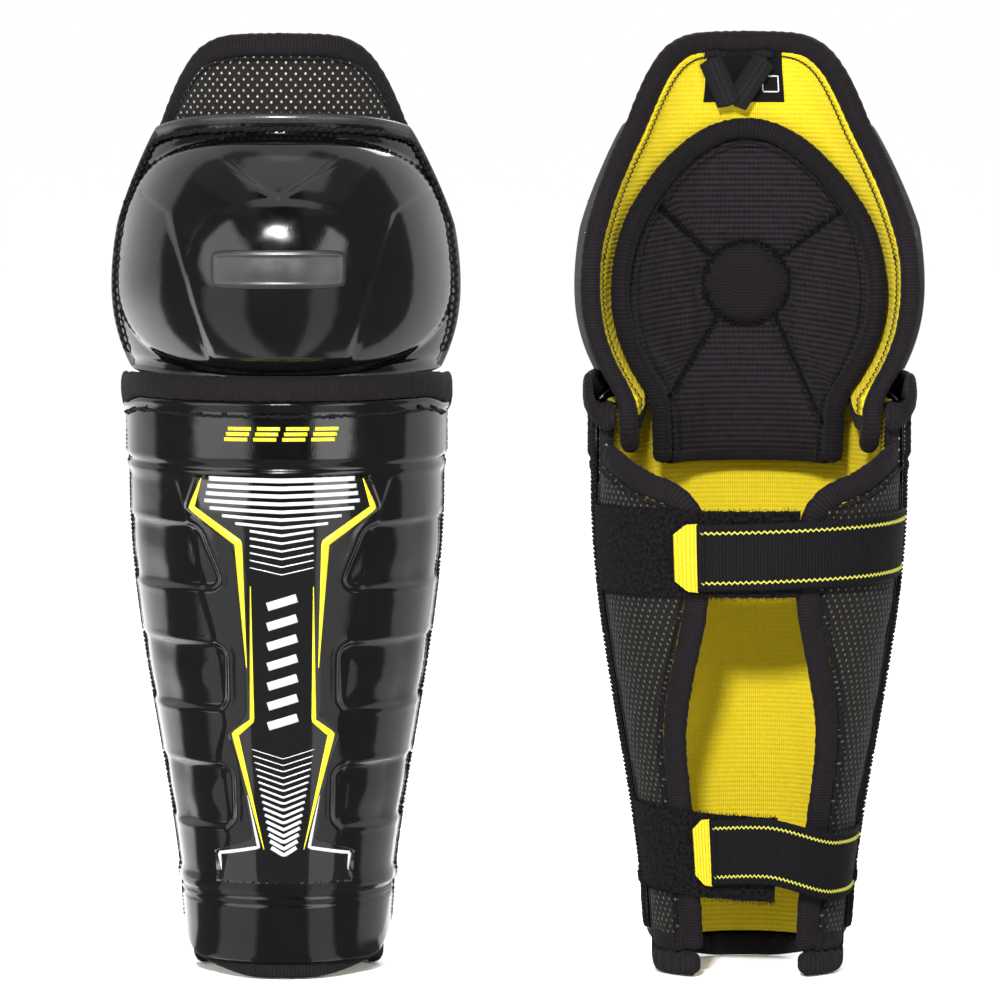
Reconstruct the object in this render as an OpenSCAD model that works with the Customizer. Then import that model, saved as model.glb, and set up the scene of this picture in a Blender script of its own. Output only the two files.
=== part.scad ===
// Pair of junior ice hockey shin guards, in millimetres, standing on their bottom hems.
// The right guard faces -Y. The left guard is its mirror image and faces +Y.
// Angles run round a guard's own section: 0 is its front, 90 its inner side, 180 its back.

/* [Pair] */
// Distance between the two guards' centre planes
pair_pitch = 176; // [150:2:220]

/* [Shin unit] */
// Half width of the liner's outer face at the ankle
shin_w_low = 36; // [33:1:40]
// Half width of the liner's outer face under the knee
shin_w_high = 57; // [55:1:60]
// Depth from the widest plane to the liner's front at the ankle
shin_d_low = 31; // [28:1:34]
// Depth from the widest plane to the liner's front under the knee
shin_d_high = 48; // [46:1:50]
// Height over which the shin unit widens
shin_taper_h = 185; // [170:5:200]
// Lowest point of the shin shell
shin_shell_z0 = 6.5; // [6:0.5:10]
// Top edge of the shin shell
shin_shell_z1 = 219; // [217:1:219]
// Half angle that the shin shell wraps
shin_wrap = 88; // [80:1:88]
// Height of the bottom hem
hem_h = 9; // [6:1:10]

/* [Knee unit] */
// Height of the knee's widest section
knee_z = 262; // [260:1:266]
// Half width of the knee liner's outer face at its widest
knee_w_max = 64; // [62:1:65]
// Depth from the widest plane to the knee liner's front
knee_d_max = 50; // [48:1:51]
// Height of the top of the thigh flap
guard_h = 358; // [352:1:364]
// Top edge of the knee shell at its centre
knee_shell_z1 = 328; // [324:1:332]
// Lowest point of the knee shell at its centre
knee_shell_z0 = 226; // [225:1:230]
// How far the knee dome stands out of the shell's flange
dome_h = 22; // [14:1:26]

/* [Layers] */
// Thickness of the moulded shells
shell_t = 2.4; // [2:0.2:2.6]
// Thickness of the foam liner
liner_t = 6; // [4:0.5:6]
// Thickness of the calf wings
wing_t = 5; // [3:0.5:5]
// Thickness of the knee pad
pad_t = 8; // [6:0.5:9]
// Space between neighbouring layers
gap = 0.6; // [0.5:0.1:0.8]

/* [Straps] */
// Width of the elastic webbing
strap_w = 25.4; // [20:0.2:30]
// Thickness of the elastic webbing
strap_t = 1.5; // [1:0.1:2]
// Height of the upper strap's middle
strap_z_high = 163; // [155:1:165]
// Height of the lower strap's middle
strap_z_low = 48; // [40:1:60]
// Height of the loop tabs that the straps fasten to
loop_tab_w = 34; // [30:1:36]

/* [Hidden] */
SIDES = ["right", "left"];
PIECES = ["knee_shell", "knee_badge", "knee_foam", "knee_stitching", "knee_liner", "knee_binding",
    "knee_pad", "knee_pad_binding", "label", "hang_loop", "knee_gusset", "shin_shell", "shin_decal",
    "shin_stitching", "shin_liner", "shin_band", "inner_wing", "outer_wing", "inner_wing_binding",
    "outer_wing_binding", "bottom_hem", "upper_loop_tab", "lower_loop_tab", "upper_strap", "upper_pull_tab",
    "upper_hook", "lower_strap", "lower_pull_tab", "lower_hook"];

shell_black = "#17181a";
fabric_black = "#222024";
mesh_grey = "#4a4844";
liner_yellow = "#f0e012";

knee_taper_h = 100;
knee_rim_a = 80;
flap_a = 57;
flap_drop = 32;
shoulder_drop = 39;
cup_h = 36;
dome_a = 74;
dome_z = 272;
dome_half_h = 42;
dome_power = 2.6;
wing_z1 = 194;
binding_w = 4;
// Room that a binding takes beyond the edge that it closes
rim = 2 * binding_w + 0.2;
band_half_h = 5.3;
band_half_t = 1.75;
pad_z0 = 193;
pad_z1 = 319;

// ---- section of the guard ----

function smooth(t) = let (c = min(1, max(0, t))) c * c * (3 - 2 * c);
function mix(p, q, t) = p + (q - p) * t;
function shin_share(z) = smooth(z / shin_taper_h);
function shin_w(z) = mix(shin_w_low, shin_w_high, shin_share(z));
function shin_d(z) = mix(shin_d_low, shin_d_high, shin_share(z));
// How far behind the widest plane the shell's rear edges lie
function shin_e(z) = mix(8, 11, shin_share(z));
// Depth of the calf wings behind those edges
function shin_r(z) = mix(22, 36, shin_share(z));

function cup(z) = pow(max(0, min(1.2, (knee_z - z) / cup_h)), 2.2);
function knee_w(z) = knee_w_max - 10 * cup(z) - 18 * smooth((z - knee_z) / knee_taper_h);
function knee_d(z) = knee_d_max - 5 * cup(z) - 5 * smooth((z - knee_z) / knee_taper_h);
knee_e = 25;

function shin_curve(a, z) = abs(a) <= 90
    ? [shin_w(z) * sin(a), -shin_d(z) * cos(a) + shin_e(z) * pow(abs(a) / 90, 3)]
    : [shin_w(z) * sin(a), shin_e(z) - shin_r(z) * cos(a)];
function knee_curve(a, z) = [knee_w(z) * sin(a), -knee_d(z) * cos(a) + knee_e * pow(abs(a) / 90, 3)];

// Outward direction of a section curve, from two neighbouring points of it
function outward(p, q) = [q.y - p.y, p.x - q.x] / norm(q - p);
function shin_normal(a, z) = outward(shin_curve(a - 0.5, z), shin_curve(a + 0.5, z));
function knee_normal(a, z) = outward(knee_curve(a - 0.5, z), knee_curve(a + 0.5, z));
function lift(p, n, off, z) = [p.x + n.x * off, p.y + n.y * off, z];
function shin_at(a, z, off) = lift(shin_curve(a, z), shin_normal(a, z), off, z);
function knee_at(a, z, off) = lift(knee_curve(a, z), knee_normal(a, z), off, z);
// The same, on the dome, which stands forward of the flange
function cap_at(a, z, off) = knee_at(a, z, off) - [0, dome(a, z), 0];

// ---- outlines ----

function liner_top(a) = let (m = abs(a), top = guard_h - rim) m <= flap_a
    ? top - flap_drop * pow(m / flap_a, 5)
    : top - flap_drop - shoulder_drop * pow((m - flap_a) / 20, 1.2);
function liner_bottom(a) = knee_shell_z0 - 20 * smooth((abs(a) - 55) / 17);
function shell_top(a) = let (m = abs(a)) m <= flap_a
    ? knee_shell_z1 - 5 * pow(m / flap_a, 3)
    : knee_shell_z1 - 5 - shoulder_drop * pow((m - flap_a) / 20, 1.2);
function shell_bottom(a) = knee_shell_z0 + 6 * pow(abs(a) / 78, 2);
function dome_r(a, z) = pow(pow(abs(a) / dome_a, dome_power)
    + pow(abs(z - dome_z) / dome_half_h, dome_power), 1 / dome_power);
function dome(a, z) = dome_h * (1 - pow(min(1, dome_r(a, z)), dome_power));
// Angle of the calf wings' inner edges, bindings included
function wing_edge(z) = 141 + 21 * smooth((z - 80) / 75);
wing_binding_a = 10;
wing_a0 = 92.3;
function wing_top(a) = wing_z1 - 14 * smooth((abs(a) - 92) / 60);
function pad_half_a(t) = 60 + 9 * smooth(t / 0.5) - 7 * smooth((t - 0.5) / 0.5);
function pad_height(s, t) = mix(pad_z0, pad_z1, t) - 38 * pow(t, 3) * s * s;

// ---- solids made of surfaces ----

// Closed solid between two surfaces, each a function of s and t from 0 to 1
module slab(outer, inner, ns, nt) {
    function at(i, j) = j * (ns + 1) + i;
    back = (ns + 1) * (nt + 1);
    grid = [for (j = [0:nt]) for (i = [0:ns]) [i / ns, j / nt]];
    points = concat([for (g = grid) outer(g.x, g.y)], [for (g = grid) inner(g.x, g.y)]);
    function quad(a, b, c, d) = [[a, b, c], [a, c, d]];
    faces = [
        for (j = [0:nt - 1]) for (i = [0:ns - 1])
            each quad(at(i, j), at(i, j + 1), at(i + 1, j + 1), at(i + 1, j)),
        for (j = [0:nt - 1]) for (i = [0:ns - 1])
            each quad(back + at(i, j), back + at(i + 1, j), back + at(i + 1, j + 1), back + at(i, j + 1)),
        for (i = [0:ns - 1]) each quad(at(i, 0), at(i + 1, 0), back + at(i + 1, 0), back + at(i, 0)),
        for (i = [0:ns - 1]) each quad(at(i + 1, nt), at(i, nt), back + at(i, nt), back + at(i + 1, nt)),
        for (j = [0:nt - 1]) each quad(at(0, j + 1), at(0, j), back + at(0, j), back + at(0, j + 1)),
        for (j = [0:nt - 1]) each quad(at(ns, j), at(ns, j + 1), back + at(ns, j + 1), back + at(ns, j)),
    ];
    polyhedron(points, faces, convexity = 8);
}

// Padded roll along a path of [point, outward direction] pairs. half_b is its half size within the
// surface, half_n through it, and shift moves it sideways off the path.
module roll(path, half_b, half_n, shift = 0, sides = 8) {
    last = len(path) - 1;
    function along(k) = let (d = path[min(last, k + 1)][0] - path[max(0, k - 1)][0]) d / norm(d);
    function across(k) = let (c = cross(along(k), path[k][1])) c / norm(c);
    points = [for (k = [0:last]) for (i = [0:sides - 1]) let (f = 360 * i / sides)
        path[k][0] + across(k) * (half_b * cos(f) - shift) + path[k][1] * half_n * sin(f)];
    function quad(p, q) = [[p, q, q + sides], [p, q + sides, p + sides]];
    faces = [
        [for (i = [sides - 1:-1:0]) i],
        for (k = [0:last - 1]) for (i = [0:sides - 1]) each quad(k * sides + i, k * sides + (i + 1) % sides),
        [for (i = [0:sides - 1]) last * sides + i],
    ];
    polyhedron(points, faces, convexity = 8);
}

function knee_pair(a, z, off) = let (n = knee_normal(a, z)) [knee_at(a, z, off), [n.x, n.y, 0]];
function shin_pair(a, z, off) = let (n = shin_normal(a, z)) [shin_at(a, z, off), [n.x, n.y, 0]];

// One stitch of thread from point p to point q, on a face with outward direction n
module stitch(p, q, n) {
    size = 0.8;
    t = (q - p) / norm(q - p);
    b = cross(n, t) / norm(cross(n, t));
    m = cross(t, b);
    multmatrix([[t.x, b.x, m.x, p.x], [t.y, b.y, m.y, p.y], [t.z, b.z, m.z, p.z]])
        translate([0, -size / 2, 0]) cube([norm(q - p), size, size]);
}

// ---- knee unit ----

module knee_shell() {
    a1 = 78;
    function point(s, t, off) = let (a = mix(-a1, a1, s), z = mix(shell_bottom(a), shell_top(a), t))
        cap_at(a, z, off);
    color(shell_black)
        slab(function (s, t) point(s, t, gap + shell_t), function (s, t) point(s, t, gap), 20, 14);
}

module knee_badge() {
    a1 = 17.5;
    function point(s, t, off) = let (a = mix(-a1, a1, s), z = mix(260, 274.5, t))
        cap_at(a, z, gap + shell_t + off);
    color("#2a2b2d") slab(function (s, t) point(s, t, 0.9), function (s, t) point(s, t, 0.2), 6, 2);
}

module knee_foam() {
    share = 0.8;
    // A square grid drawn in to an ellipse, so that the foam's outline is round
    function point(s, t, deep) = let (
        u = 2 * s - 1,
        v = 2 * t - 1,
        a = dome_a * share * u * sqrt(1 - v * v / 2),
        z = dome_z + dome_half_h * share * v * sqrt(1 - u * u / 2))
        deep ? knee_at(a, z, gap) : cap_at(a, z, -gap);
    color("#3a3a3c") slab(function (s, t) point(s, t, false), function (s, t) point(s, t, true), 12, 8);
}

module knee_stitching() {
    function spot(v) = let (m = abs(v), up = min(1, m / 0.55), down = max(0, (m - 0.55) / 0.45),
        a = sign(v) * (71 * up + 4 * down), z = mix(shell_top(71 * up) - 4.5, 240, down))
        [cap_at(a, z, gap + shell_t + 1.3), knee_pair(a, z, 0)[1]];
    count = 46;
    length = 0.026;
    color(fabric_black)
        for (i = [0:count - 1]) let (v = 2 * (i + 0.5) / count - 1, p = spot(v), q = spot(v + length))
            stitch(p[0], q[0], p[1]);
}

module knee_liner() {
    function point(s, t, off) = let (a = mix(-knee_rim_a, knee_rim_a, s))
        knee_at(a, mix(liner_bottom(a), liner_top(a), t), off);
    color(liner_yellow) slab(function (s, t) point(s, t, 0), function (s, t) point(s, t, -liner_t), 20, 12);
}

module knee_binding() {
    half = [
        for (z = [209:10:262]) [knee_rim_a, z],
        for (a = [knee_rim_a:-6:8]) [a, liner_top(a)],
    ];
    outline = concat(
        [for (p = half) [-p.x, p.y]], [[0, guard_h - rim]], [for (i = [len(half) - 1:-1:0]) half[i]]);
    color(fabric_black)
        roll([for (p = outline) knee_pair(p.x, p.y, -liner_t / 2)], binding_w, 3.4, binding_w + 0.2);
}

module knee_pad() {
    front = -liner_t - gap - 0.4;
    function point(s, t, off) = let (u = 2 * s - 1) knee_at(u * pad_half_a(t), pad_height(u, t), off);
    color(fabric_black)
        slab(function (s, t) point(s, t, front), function (s, t) point(s, t, front - pad_t), 14, 10);
}

module knee_pad_binding() {
    function edge(u, t) =
        knee_pair(u * pad_half_a(t), pad_height(u, t), -liner_t - gap - 0.4 - pad_t / 2);
    outline = [
        for (t = [0:0.125:0.99]) edge(-1, t),
        for (u = [-1:0.2:1]) edge(u, 1),
        for (t = [0.875:-0.125:0]) edge(1, t),
    ];
    color("#1c1a1e") roll(outline, 2.4, 3, 2.8);
}

module label() {
    function point(s, t, off) = knee_at(mix(-25, 20, s), mix(330, 347, t), off - liner_t);
    color("black") slab(function (s, t) point(s, t, -0.3), function (s, t) point(s, t, -0.8), 6, 2);
}

loop_z1 = 347;
loop_y = -33;
module hang_loop() {
    color("black") translate([0, loop_y, 0]) rotate([90, 0, 0]) linear_extrude(1)
        polygon([[-18, loop_z1], [-5, 324], [10, loop_z1], [3, loop_z1], [-5, 335], [-11, loop_z1]]);
}

// ---- shin unit ----

module shin_shell() {
    function point(s, t, off) =
        shin_at(mix(-shin_wrap, shin_wrap, s), mix(shin_shell_z0, shin_shell_z1, t), off);
    color(shell_black)
        slab(function (s, t) point(s, t, gap + shell_t), function (s, t) point(s, t, gap), 18, 10);
}

module shin_decal() {
    // Half width of the printed panel at a few heights
    function half_w(z) =
        lookup(z, [[30, 22], [38, 22], [54, 9], [90, 18], [98, 11], [148, 13], [170, 33], [188, 30]]);
    function point(s, t, off) = let (z = mix(30, 188, t), a = asin((2 * s - 1) * half_w(z) / shin_w(z)))
        shin_at(a, z, gap + shell_t + off);
    color("#0c0c0d") slab(function (s, t) point(s, t, 1.4), function (s, t) point(s, t, 1.1), 6, 18);
}

module shin_stitching() {
    rise = gap + shell_t + 0.3;
    row_z = 212;
    color(fabric_black) {
        for (a = [-76:9.5:76])
            stitch(shin_at(a - 2.4, row_z, rise), shin_at(a + 2.4, row_z, rise), shin_pair(a, row_z, 0)[1]);
        for (a = [-84.5, 84.5]) for (z = [16:8:200])
            stitch(shin_at(a, z, rise), shin_at(a, z + 5, rise), shin_pair(a, z, 0)[1]);
    }
}

module shin_liner() {
    function point(s, t, off) = shin_at(mix(-90, 90, s), mix(hem_h + 0.4, 218.4, t), off);
    color(liner_yellow) slab(function (s, t) point(s, t, 0), function (s, t) point(s, t, -liner_t), 18, 10);
}

// Its two ends turn down behind the shell's rear corners
module shin_band() {
    function height(a) = shin_shell_z1 + 0.3 + band_half_h - 12 * smooth((abs(a) - 89) / 10);
    color(fabric_black)
        roll([for (a = [-99:5.5:99]) shin_pair(a, height(a), 4.4)], band_half_h, band_half_t);
}

// Folded fabric that joins the knee liner to the shin liner, in the room between their edges
module knee_gusset() {
    function point(s, t, off) = shin_at(mix(-50, 50, s), mix(218.9, 225.4, t), off);
    color(fabric_black) slab(function (s, t) point(s, t, -3.2), function (s, t) point(s, t, -5.4), 12, 1);
}

// side is 1 for the inner wing and -1 for the outer wing
module wing(side) {
    function point(s, t, off) = let (
        share = side > 0 ? s : 1 - s,
        z = mix(hem_h + 0.4, wing_top(mix(92, 150, share)), t))
        shin_at(side * mix(wing_a0, wing_edge(z) - wing_binding_a, share), z, off);
    color(mesh_grey) slab(function (s, t) point(s, t, 0), function (s, t) point(s, t, -wing_t), 7, 9);
}

module wing_binding(side) {
    function edge(z) = shin_pair(side * (wing_edge(z) - wing_binding_a), z, -wing_t / 2);
    function top(a) = shin_pair(side * a, wing_top(a), -wing_t / 2);
    path = concat([for (z = [14:14:168]) edge(z)], [edge(177.5)], [for (a = [144:-8:96]) top(a)]);
    turned = side > 0 ? [for (i = [len(path) - 1:-1:0]) path[i]] : path;
    color(fabric_black) roll(turned, binding_w, 2.6, binding_w + 1.5);
}

module bottom_hem() {
    a1 = wing_edge(0);
    outer = [for (a = [-a1:6:a1]) let (p = shin_at(a, 0, 0)) [p.x, p.y]];
    inner = [for (a = [a1:-6:-a1]) let (p = shin_at(a, 0, -liner_t - 0.6)) [p.x, p.y]];
    color(fabric_black) linear_extrude(hem_h) polygon(concat(outer, inner));
}

// Angle where each loop tab ends, past the middle of the back
module loop_tab(z, end_a) {
    function point(s, t, off) = shin_at(mix(end_a, 267, s), z + loop_tab_w * (t - 0.5), off);
    color("#101010") slab(function (s, t) point(s, t, gap + 1.2), function (s, t) point(s, t, gap), 13, 2);
}

// ---- straps ----

strap_a0 = 95;
strap_a1 = 201;
tab_a1 = 210;
// Distance of the webbing's inner face from the liner's outer face: it climbs over the loop tab
function strap_off(a) = gap + 3.4 * smooth((a - strap_a0) / 45);

module strap(z) {
    function point(s, t, off) = let (a = mix(strap_a0, strap_a1, s))
        shin_at(a, z + strap_w * (t - 0.5), strap_off(a) + off);
    color(fabric_black) slab(function (s, t) point(s, t, strap_t), function (s, t) point(s, t, 0), 14, 2);
}

module pull_tab(z) {
    function point(s, t, off) = let (a = mix(strap_a1 + 0.2, tab_a1, s))
        shin_at(a, z + (strap_w - 6 * s) * (t - 0.5), strap_off(a) + off);
    color(liner_yellow) slab(function (s, t) point(s, t, strap_t), function (s, t) point(s, t, 0), 3, 2);
}

module hook(z) {
    function point(s, t, off) =
        shin_at(mix(168, tab_a1 - 3, s), z + (strap_w - 4) * (t - 0.5), strap_off(180) + off);
    color("#1d1d1f") slab(function (s, t) point(s, t, -0.2), function (s, t) point(s, t, -1.3), 6, 1);
}

// ---- both guards ----

module piece(name) {
    if (name == "knee_shell") knee_shell();
    if (name == "knee_badge") knee_badge();
    if (name == "knee_foam") knee_foam();
    if (name == "knee_stitching") knee_stitching();
    if (name == "knee_liner") knee_liner();
    if (name == "knee_binding") knee_binding();
    if (name == "knee_pad") knee_pad();
    if (name == "knee_pad_binding") knee_pad_binding();
    if (name == "label") label();
    if (name == "hang_loop") hang_loop();
    if (name == "shin_shell") shin_shell();
    if (name == "shin_decal") shin_decal();
    if (name == "shin_stitching") shin_stitching();
    if (name == "shin_liner") shin_liner();
    if (name == "shin_band") shin_band();
    if (name == "knee_gusset") knee_gusset();
    if (name == "inner_wing") wing(1);
    if (name == "outer_wing") wing(-1);
    if (name == "inner_wing_binding") wing_binding(1);
    if (name == "outer_wing_binding") wing_binding(-1);
    if (name == "bottom_hem") bottom_hem();
    if (name == "upper_loop_tab") loop_tab(strap_z_high, 162);
    if (name == "lower_loop_tab") loop_tab(strap_z_low, 166);
    if (name == "upper_strap") strap(strap_z_high);
    if (name == "upper_pull_tab") pull_tab(strap_z_high);
    if (name == "upper_hook") hook(strap_z_high);
    if (name == "lower_strap") strap(strap_z_low);
    if (name == "lower_pull_tab") pull_tab(strap_z_low);
    if (name == "lower_hook") hook(strap_z_low);
}

for (name = PIECES) {
    translate([-pair_pitch / 2, 0, 0]) piece(name);
    translate([pair_pitch / 2, 0, 0]) mirror([0, 1, 0]) piece(name);
}
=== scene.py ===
"""Looks of a pair of junior ice hockey shin guards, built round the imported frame.

Every piece is modelled once, in the right guard's own millimetres: its front faces -Y and angle 0 is
its front, 90 its inner side (+X) and 180 its back. make() then places it on both guards, where the left
one is the mirror image that faces +Y.
"""
import math

import bmesh
import bpy
import numpy as np
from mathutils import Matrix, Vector


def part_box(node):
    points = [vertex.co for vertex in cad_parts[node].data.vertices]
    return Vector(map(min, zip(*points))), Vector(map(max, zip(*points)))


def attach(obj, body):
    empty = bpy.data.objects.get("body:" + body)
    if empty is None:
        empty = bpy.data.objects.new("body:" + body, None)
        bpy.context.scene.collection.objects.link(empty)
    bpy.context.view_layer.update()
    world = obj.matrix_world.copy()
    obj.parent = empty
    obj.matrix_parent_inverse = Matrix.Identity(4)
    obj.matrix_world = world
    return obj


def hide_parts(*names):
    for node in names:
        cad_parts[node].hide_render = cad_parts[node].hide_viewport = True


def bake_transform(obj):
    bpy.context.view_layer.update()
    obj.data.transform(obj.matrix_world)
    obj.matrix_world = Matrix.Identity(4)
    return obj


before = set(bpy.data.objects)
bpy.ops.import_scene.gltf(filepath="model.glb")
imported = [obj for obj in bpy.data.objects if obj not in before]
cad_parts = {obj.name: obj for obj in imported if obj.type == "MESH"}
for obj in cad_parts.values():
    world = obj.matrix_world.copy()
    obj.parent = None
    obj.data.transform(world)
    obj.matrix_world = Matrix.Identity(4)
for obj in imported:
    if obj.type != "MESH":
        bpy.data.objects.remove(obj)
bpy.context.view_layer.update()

MM = 0.001
SIDES = {"right": 1, "left": -1}
rng = np.random.default_rng(7)


def box_mm(node):
    """Lowest and highest corner of a CAD node, in millimetres."""
    low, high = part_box(node)
    return np.array(low) / MM, np.array(high) / MM


CENTRE_X = {side: float(np.mean([corner[0] for corner in box_mm(f"{side}_shin_shell")])) for side in SIDES}

# ---- sizes, in millimetres ----

GUARD_H = box_mm("right_knee_binding")[1][2]
SHIN_Z0, SHIN_Z1 = box_mm("right_shin_shell")[0][2], box_mm("right_shin_shell")[1][2]
HEM_H = box_mm("right_bottom_hem")[1][2]
LEVELS = ("upper", "lower")
STRAP_Z = {level: float(np.mean([c[2] for c in box_mm(f"right_{level}_strap")])) for level in LEVELS}
STRAP_W = box_mm("right_upper_strap")[1][2] - box_mm("right_upper_strap")[0][2]
LOOP_TAB_W = box_mm("right_upper_loop_tab")[1][2] - box_mm("right_upper_loop_tab")[0][2]
KNEE_Z0 = 226
DOME_Z, DOME_HALF_H, DOME_HALF_A = 274.6, 44.6, 74
PAD_Z0, PAD_Z1 = 193, 319
PAD_W, PAD_H = 130, 126

GAP, SHELL_T, LINER_T, WING_T, PAD_T = 0.6, 2.4, 6.0, 5.0, 8.0
BINDING_W = 4.0
RIM = 2 * BINDING_W + 0.2
LINER_Z1 = GUARD_H - RIM
SHIN_WRAP, KNEE_WRAP, KNEE_RIM_A = 88, 78, 80
RIB_PITCH = 1.8
PAD_FRONT = -LINER_T - GAP - 0.4
WING_A0 = 92.3


# ---- section of the guard, the same as the CAD model's ----

def smooth(t):
    c = np.clip(t, 0, 1)
    return c * c * (3 - 2 * c)


def mix(p, q, t):
    return p + (q - p) * t


def shin_w(z):
    return mix(36, 57, smooth(z / 185))


def shin_curve(a, z):
    share = smooth(z / 185)
    depth, lean, back = mix(31, 48, share), mix(8, 11, share), mix(22, 36, share)
    rad, m = np.radians(a), np.abs(a)
    y = np.where(m <= 90, -depth * np.cos(rad) + lean * (m / 90) ** 3, lean - back * np.cos(rad))
    return shin_w(z) * np.sin(rad), y


def knee_cup(z):
    return np.clip((262 - z) / 36, 0, 1.2) ** 2.2


def knee_w(z):
    return 64 - 10 * knee_cup(z) - 18 * smooth((z - 262) / 100)


def knee_curve(a, z):
    depth = 50 - 5 * knee_cup(z) - 5 * smooth((z - 262) / 100)
    rad, m = np.radians(a), np.abs(a)
    return knee_w(z) * np.sin(rad), -depth * np.cos(rad) + 25 * (m / 90) ** 3


def at(curve, a, z, off):
    """Point at angle a and height z, off millimetres outward of a section curve."""
    a, z, off = np.broadcast_arrays(np.asarray(a, float), np.asarray(z, float), np.asarray(off, float))
    x, y = curve(a, z)
    nx, ny = normal(curve, a, z)
    return np.stack([x + nx * off, y + ny * off, z], -1)


def normal(curve, a, z):
    x0, y0 = curve(a - 0.5, z)
    x1, y1 = curve(a + 0.5, z)
    size = np.hypot(x1 - x0, y1 - y0)
    return (y1 - y0) / size, (x0 - x1) / size


def outward(curve, a, z):
    a, z = np.broadcast_arrays(np.asarray(a, float), np.asarray(z, float))
    nx, ny = normal(curve, a, z)
    return np.stack([nx, ny, 0 * nx], -1)


def shin_at(a, z, off):
    return at(shin_curve, a, z, off)


def knee_at(a, z, off):
    return at(knee_curve, a, z, off)


def cap_at(a, z, off):
    """The same, on the moulded cap, which stands forward of the flange."""
    return knee_at(a, z, off) - np.multiply.outer(knee_relief(a, z), (0, 1, 0))


def bridge_at(a, z, off):
    """Between the shin unit's section and the knee unit's."""
    share = smooth((np.asarray(z, float) - 216) / 12)[..., None]
    return mix(shin_at(a, z, off), knee_at(a, z, off), share)


# ---- outlines: the CAD model's, except that the dome's top stands 5 mm higher, as in the photo ----

def liner_top(a):
    m = np.abs(a)
    side = LINER_Z1 - 32 - 39 * np.clip((m - 57) / 20, 0, None) ** 1.2
    return np.where(m <= 57, LINER_Z1 - 32 * (m / 57) ** 5, side)


def shell_top(a):
    m = np.abs(a)
    return np.where(m <= 57, 328 - 5 * (m / 57) ** 3, 323 - 39 * (np.clip(m - 57, 0, None) / 20) ** 1.2)


def shell_bottom(a):
    return KNEE_Z0 + 3.5 * (np.abs(a) / KNEE_WRAP) ** 2


def dome_share(a, z, power=2.6):
    """0 at the dome's middle and 1 on its outline."""
    across, up = np.abs(a) / DOME_HALF_A, np.abs(z - DOME_Z) / DOME_HALF_H
    return (across ** power + up ** power) ** (1 / power)


def wing_edge(z):
    return 141 + 21 * smooth((z - 80) / 75)


def wing_top(a):
    return 194 - 14 * smooth((np.abs(a) - 92) / 60)


def pad_half_a(t):
    return 60 + 9 * smooth(t / 0.5) - 7 * smooth((t - 0.5) / 0.5)


def pad_height(u, t):
    return mix(PAD_Z0, PAD_Z1, t) - 38 * t**3 * u * u


def strap_off(a):
    """Distance of the webbing from the liner: it climbs over the loop tab."""
    return GAP + 3.4 * smooth((a - 95) / 45)


# ---- mesh builders ----

class Shape:
    """Points in a guard's own millimetres, one UV each, and faces with a material number."""

    def __init__(self):
        self.points, self.uvs, self.faces, self.slots = [], [], [], []

    def add(self, points, uvs, faces, slot=0):
        start = len(self.points)
        self.points.extend(np.asarray(points, float).reshape(-1, 3).tolist())
        self.uvs.extend(np.asarray(uvs, float).reshape(-1, 2).tolist())
        self.faces.extend(tuple(start + i for i in face) for face in faces)
        self.slots.extend([slot] * len(faces))
        return self


def samples(length, step, rim=1.0):
    """Places from 0 to 1 along an edge of that length, closer together near both ends."""
    curve = [rim * (1 - math.cos(math.radians(f))) / length for f in (0, 25, 50, 75)]
    inner = np.linspace(rim / length, 1 - rim / length, max(2, round(length / step)))
    return np.concatenate([curve, inner, [1 - c for c in reversed(curve)]])


def edge_gap(s, t, length_s, length_t):
    """Distance in millimetres from the nearest edge."""
    return np.minimum(np.minimum(s, 1 - s) * length_s, np.minimum(t, 1 - t) * length_t)


def rounding(s, t, length_s, length_t, radius):
    """0 on a solid's outline and 1 further in than radius, like a rounded edge."""
    c = np.clip(1 - edge_gap(s, t, length_s, length_t) / radius, 0, 1)
    return np.sqrt(1 - c * c)


def closed(front, back, uv, cols, rows, slots=(0, 0)):
    """Closed solid between two point grids of shape (rows, cols, 3) that meet on their outline.

    The back keeps only every cols[k] and rows[k] of the grid, so it is coarser than the front.
    """
    count_t, count_s = front.shape[:2]
    shape = Shape()
    quads = [(j * count_s + i, j * count_s + i + 1, (j + 1) * count_s + i + 1, (j + 1) * count_s + i)
             for j in range(count_t - 1) for i in range(count_s - 1)]
    shape.add(front, uv, quads, slots[0])
    number = {}
    for j in rows:
        for i in cols:
            if i in (0, count_s - 1) or j in (0, count_t - 1):
                number[i, j] = j * count_s + i
            else:
                number[i, j] = len(shape.points)
                shape.points.append(back[j, i].tolist())
                shape.uvs.append(uv[j, i].tolist())
    for j0, j1 in zip(rows, rows[1:]):
        for i0, i1 in zip(cols, cols[1:]):
            ring = []
            ring += ring_side(number, count_s, [(i0, j) for j in range(j0, j1)], i0 == 0)
            ring += ring_side(number, count_s, [(i, j1) for i in range(i0, i1)], j1 == count_t - 1)
            ring += ring_side(number, count_s, [(i1, j) for j in range(j1, j0, -1)], i1 == count_s - 1)
            ring += ring_side(number, count_s, [(i, j0) for i in range(i1, i0, -1)], j0 == 0)
            shape.faces.append(tuple(ring))
            shape.slots.append(slots[1])
    return shape


def ring_side(number, count_s, places, on_outline):
    """One side of a coarse face: every grid point on the outline, or only its first corner."""
    if on_outline:
        return [j * count_s + i for i, j in places]
    return [number[places[0]]]


def thinned(count, step):
    """Grid numbers from 0 to count - 1, about step apart, ends included."""
    places = np.linspace(0, count - 1, max(2, round(count / step)))
    return sorted(set(np.round(places).astype(int).tolist()))


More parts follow.
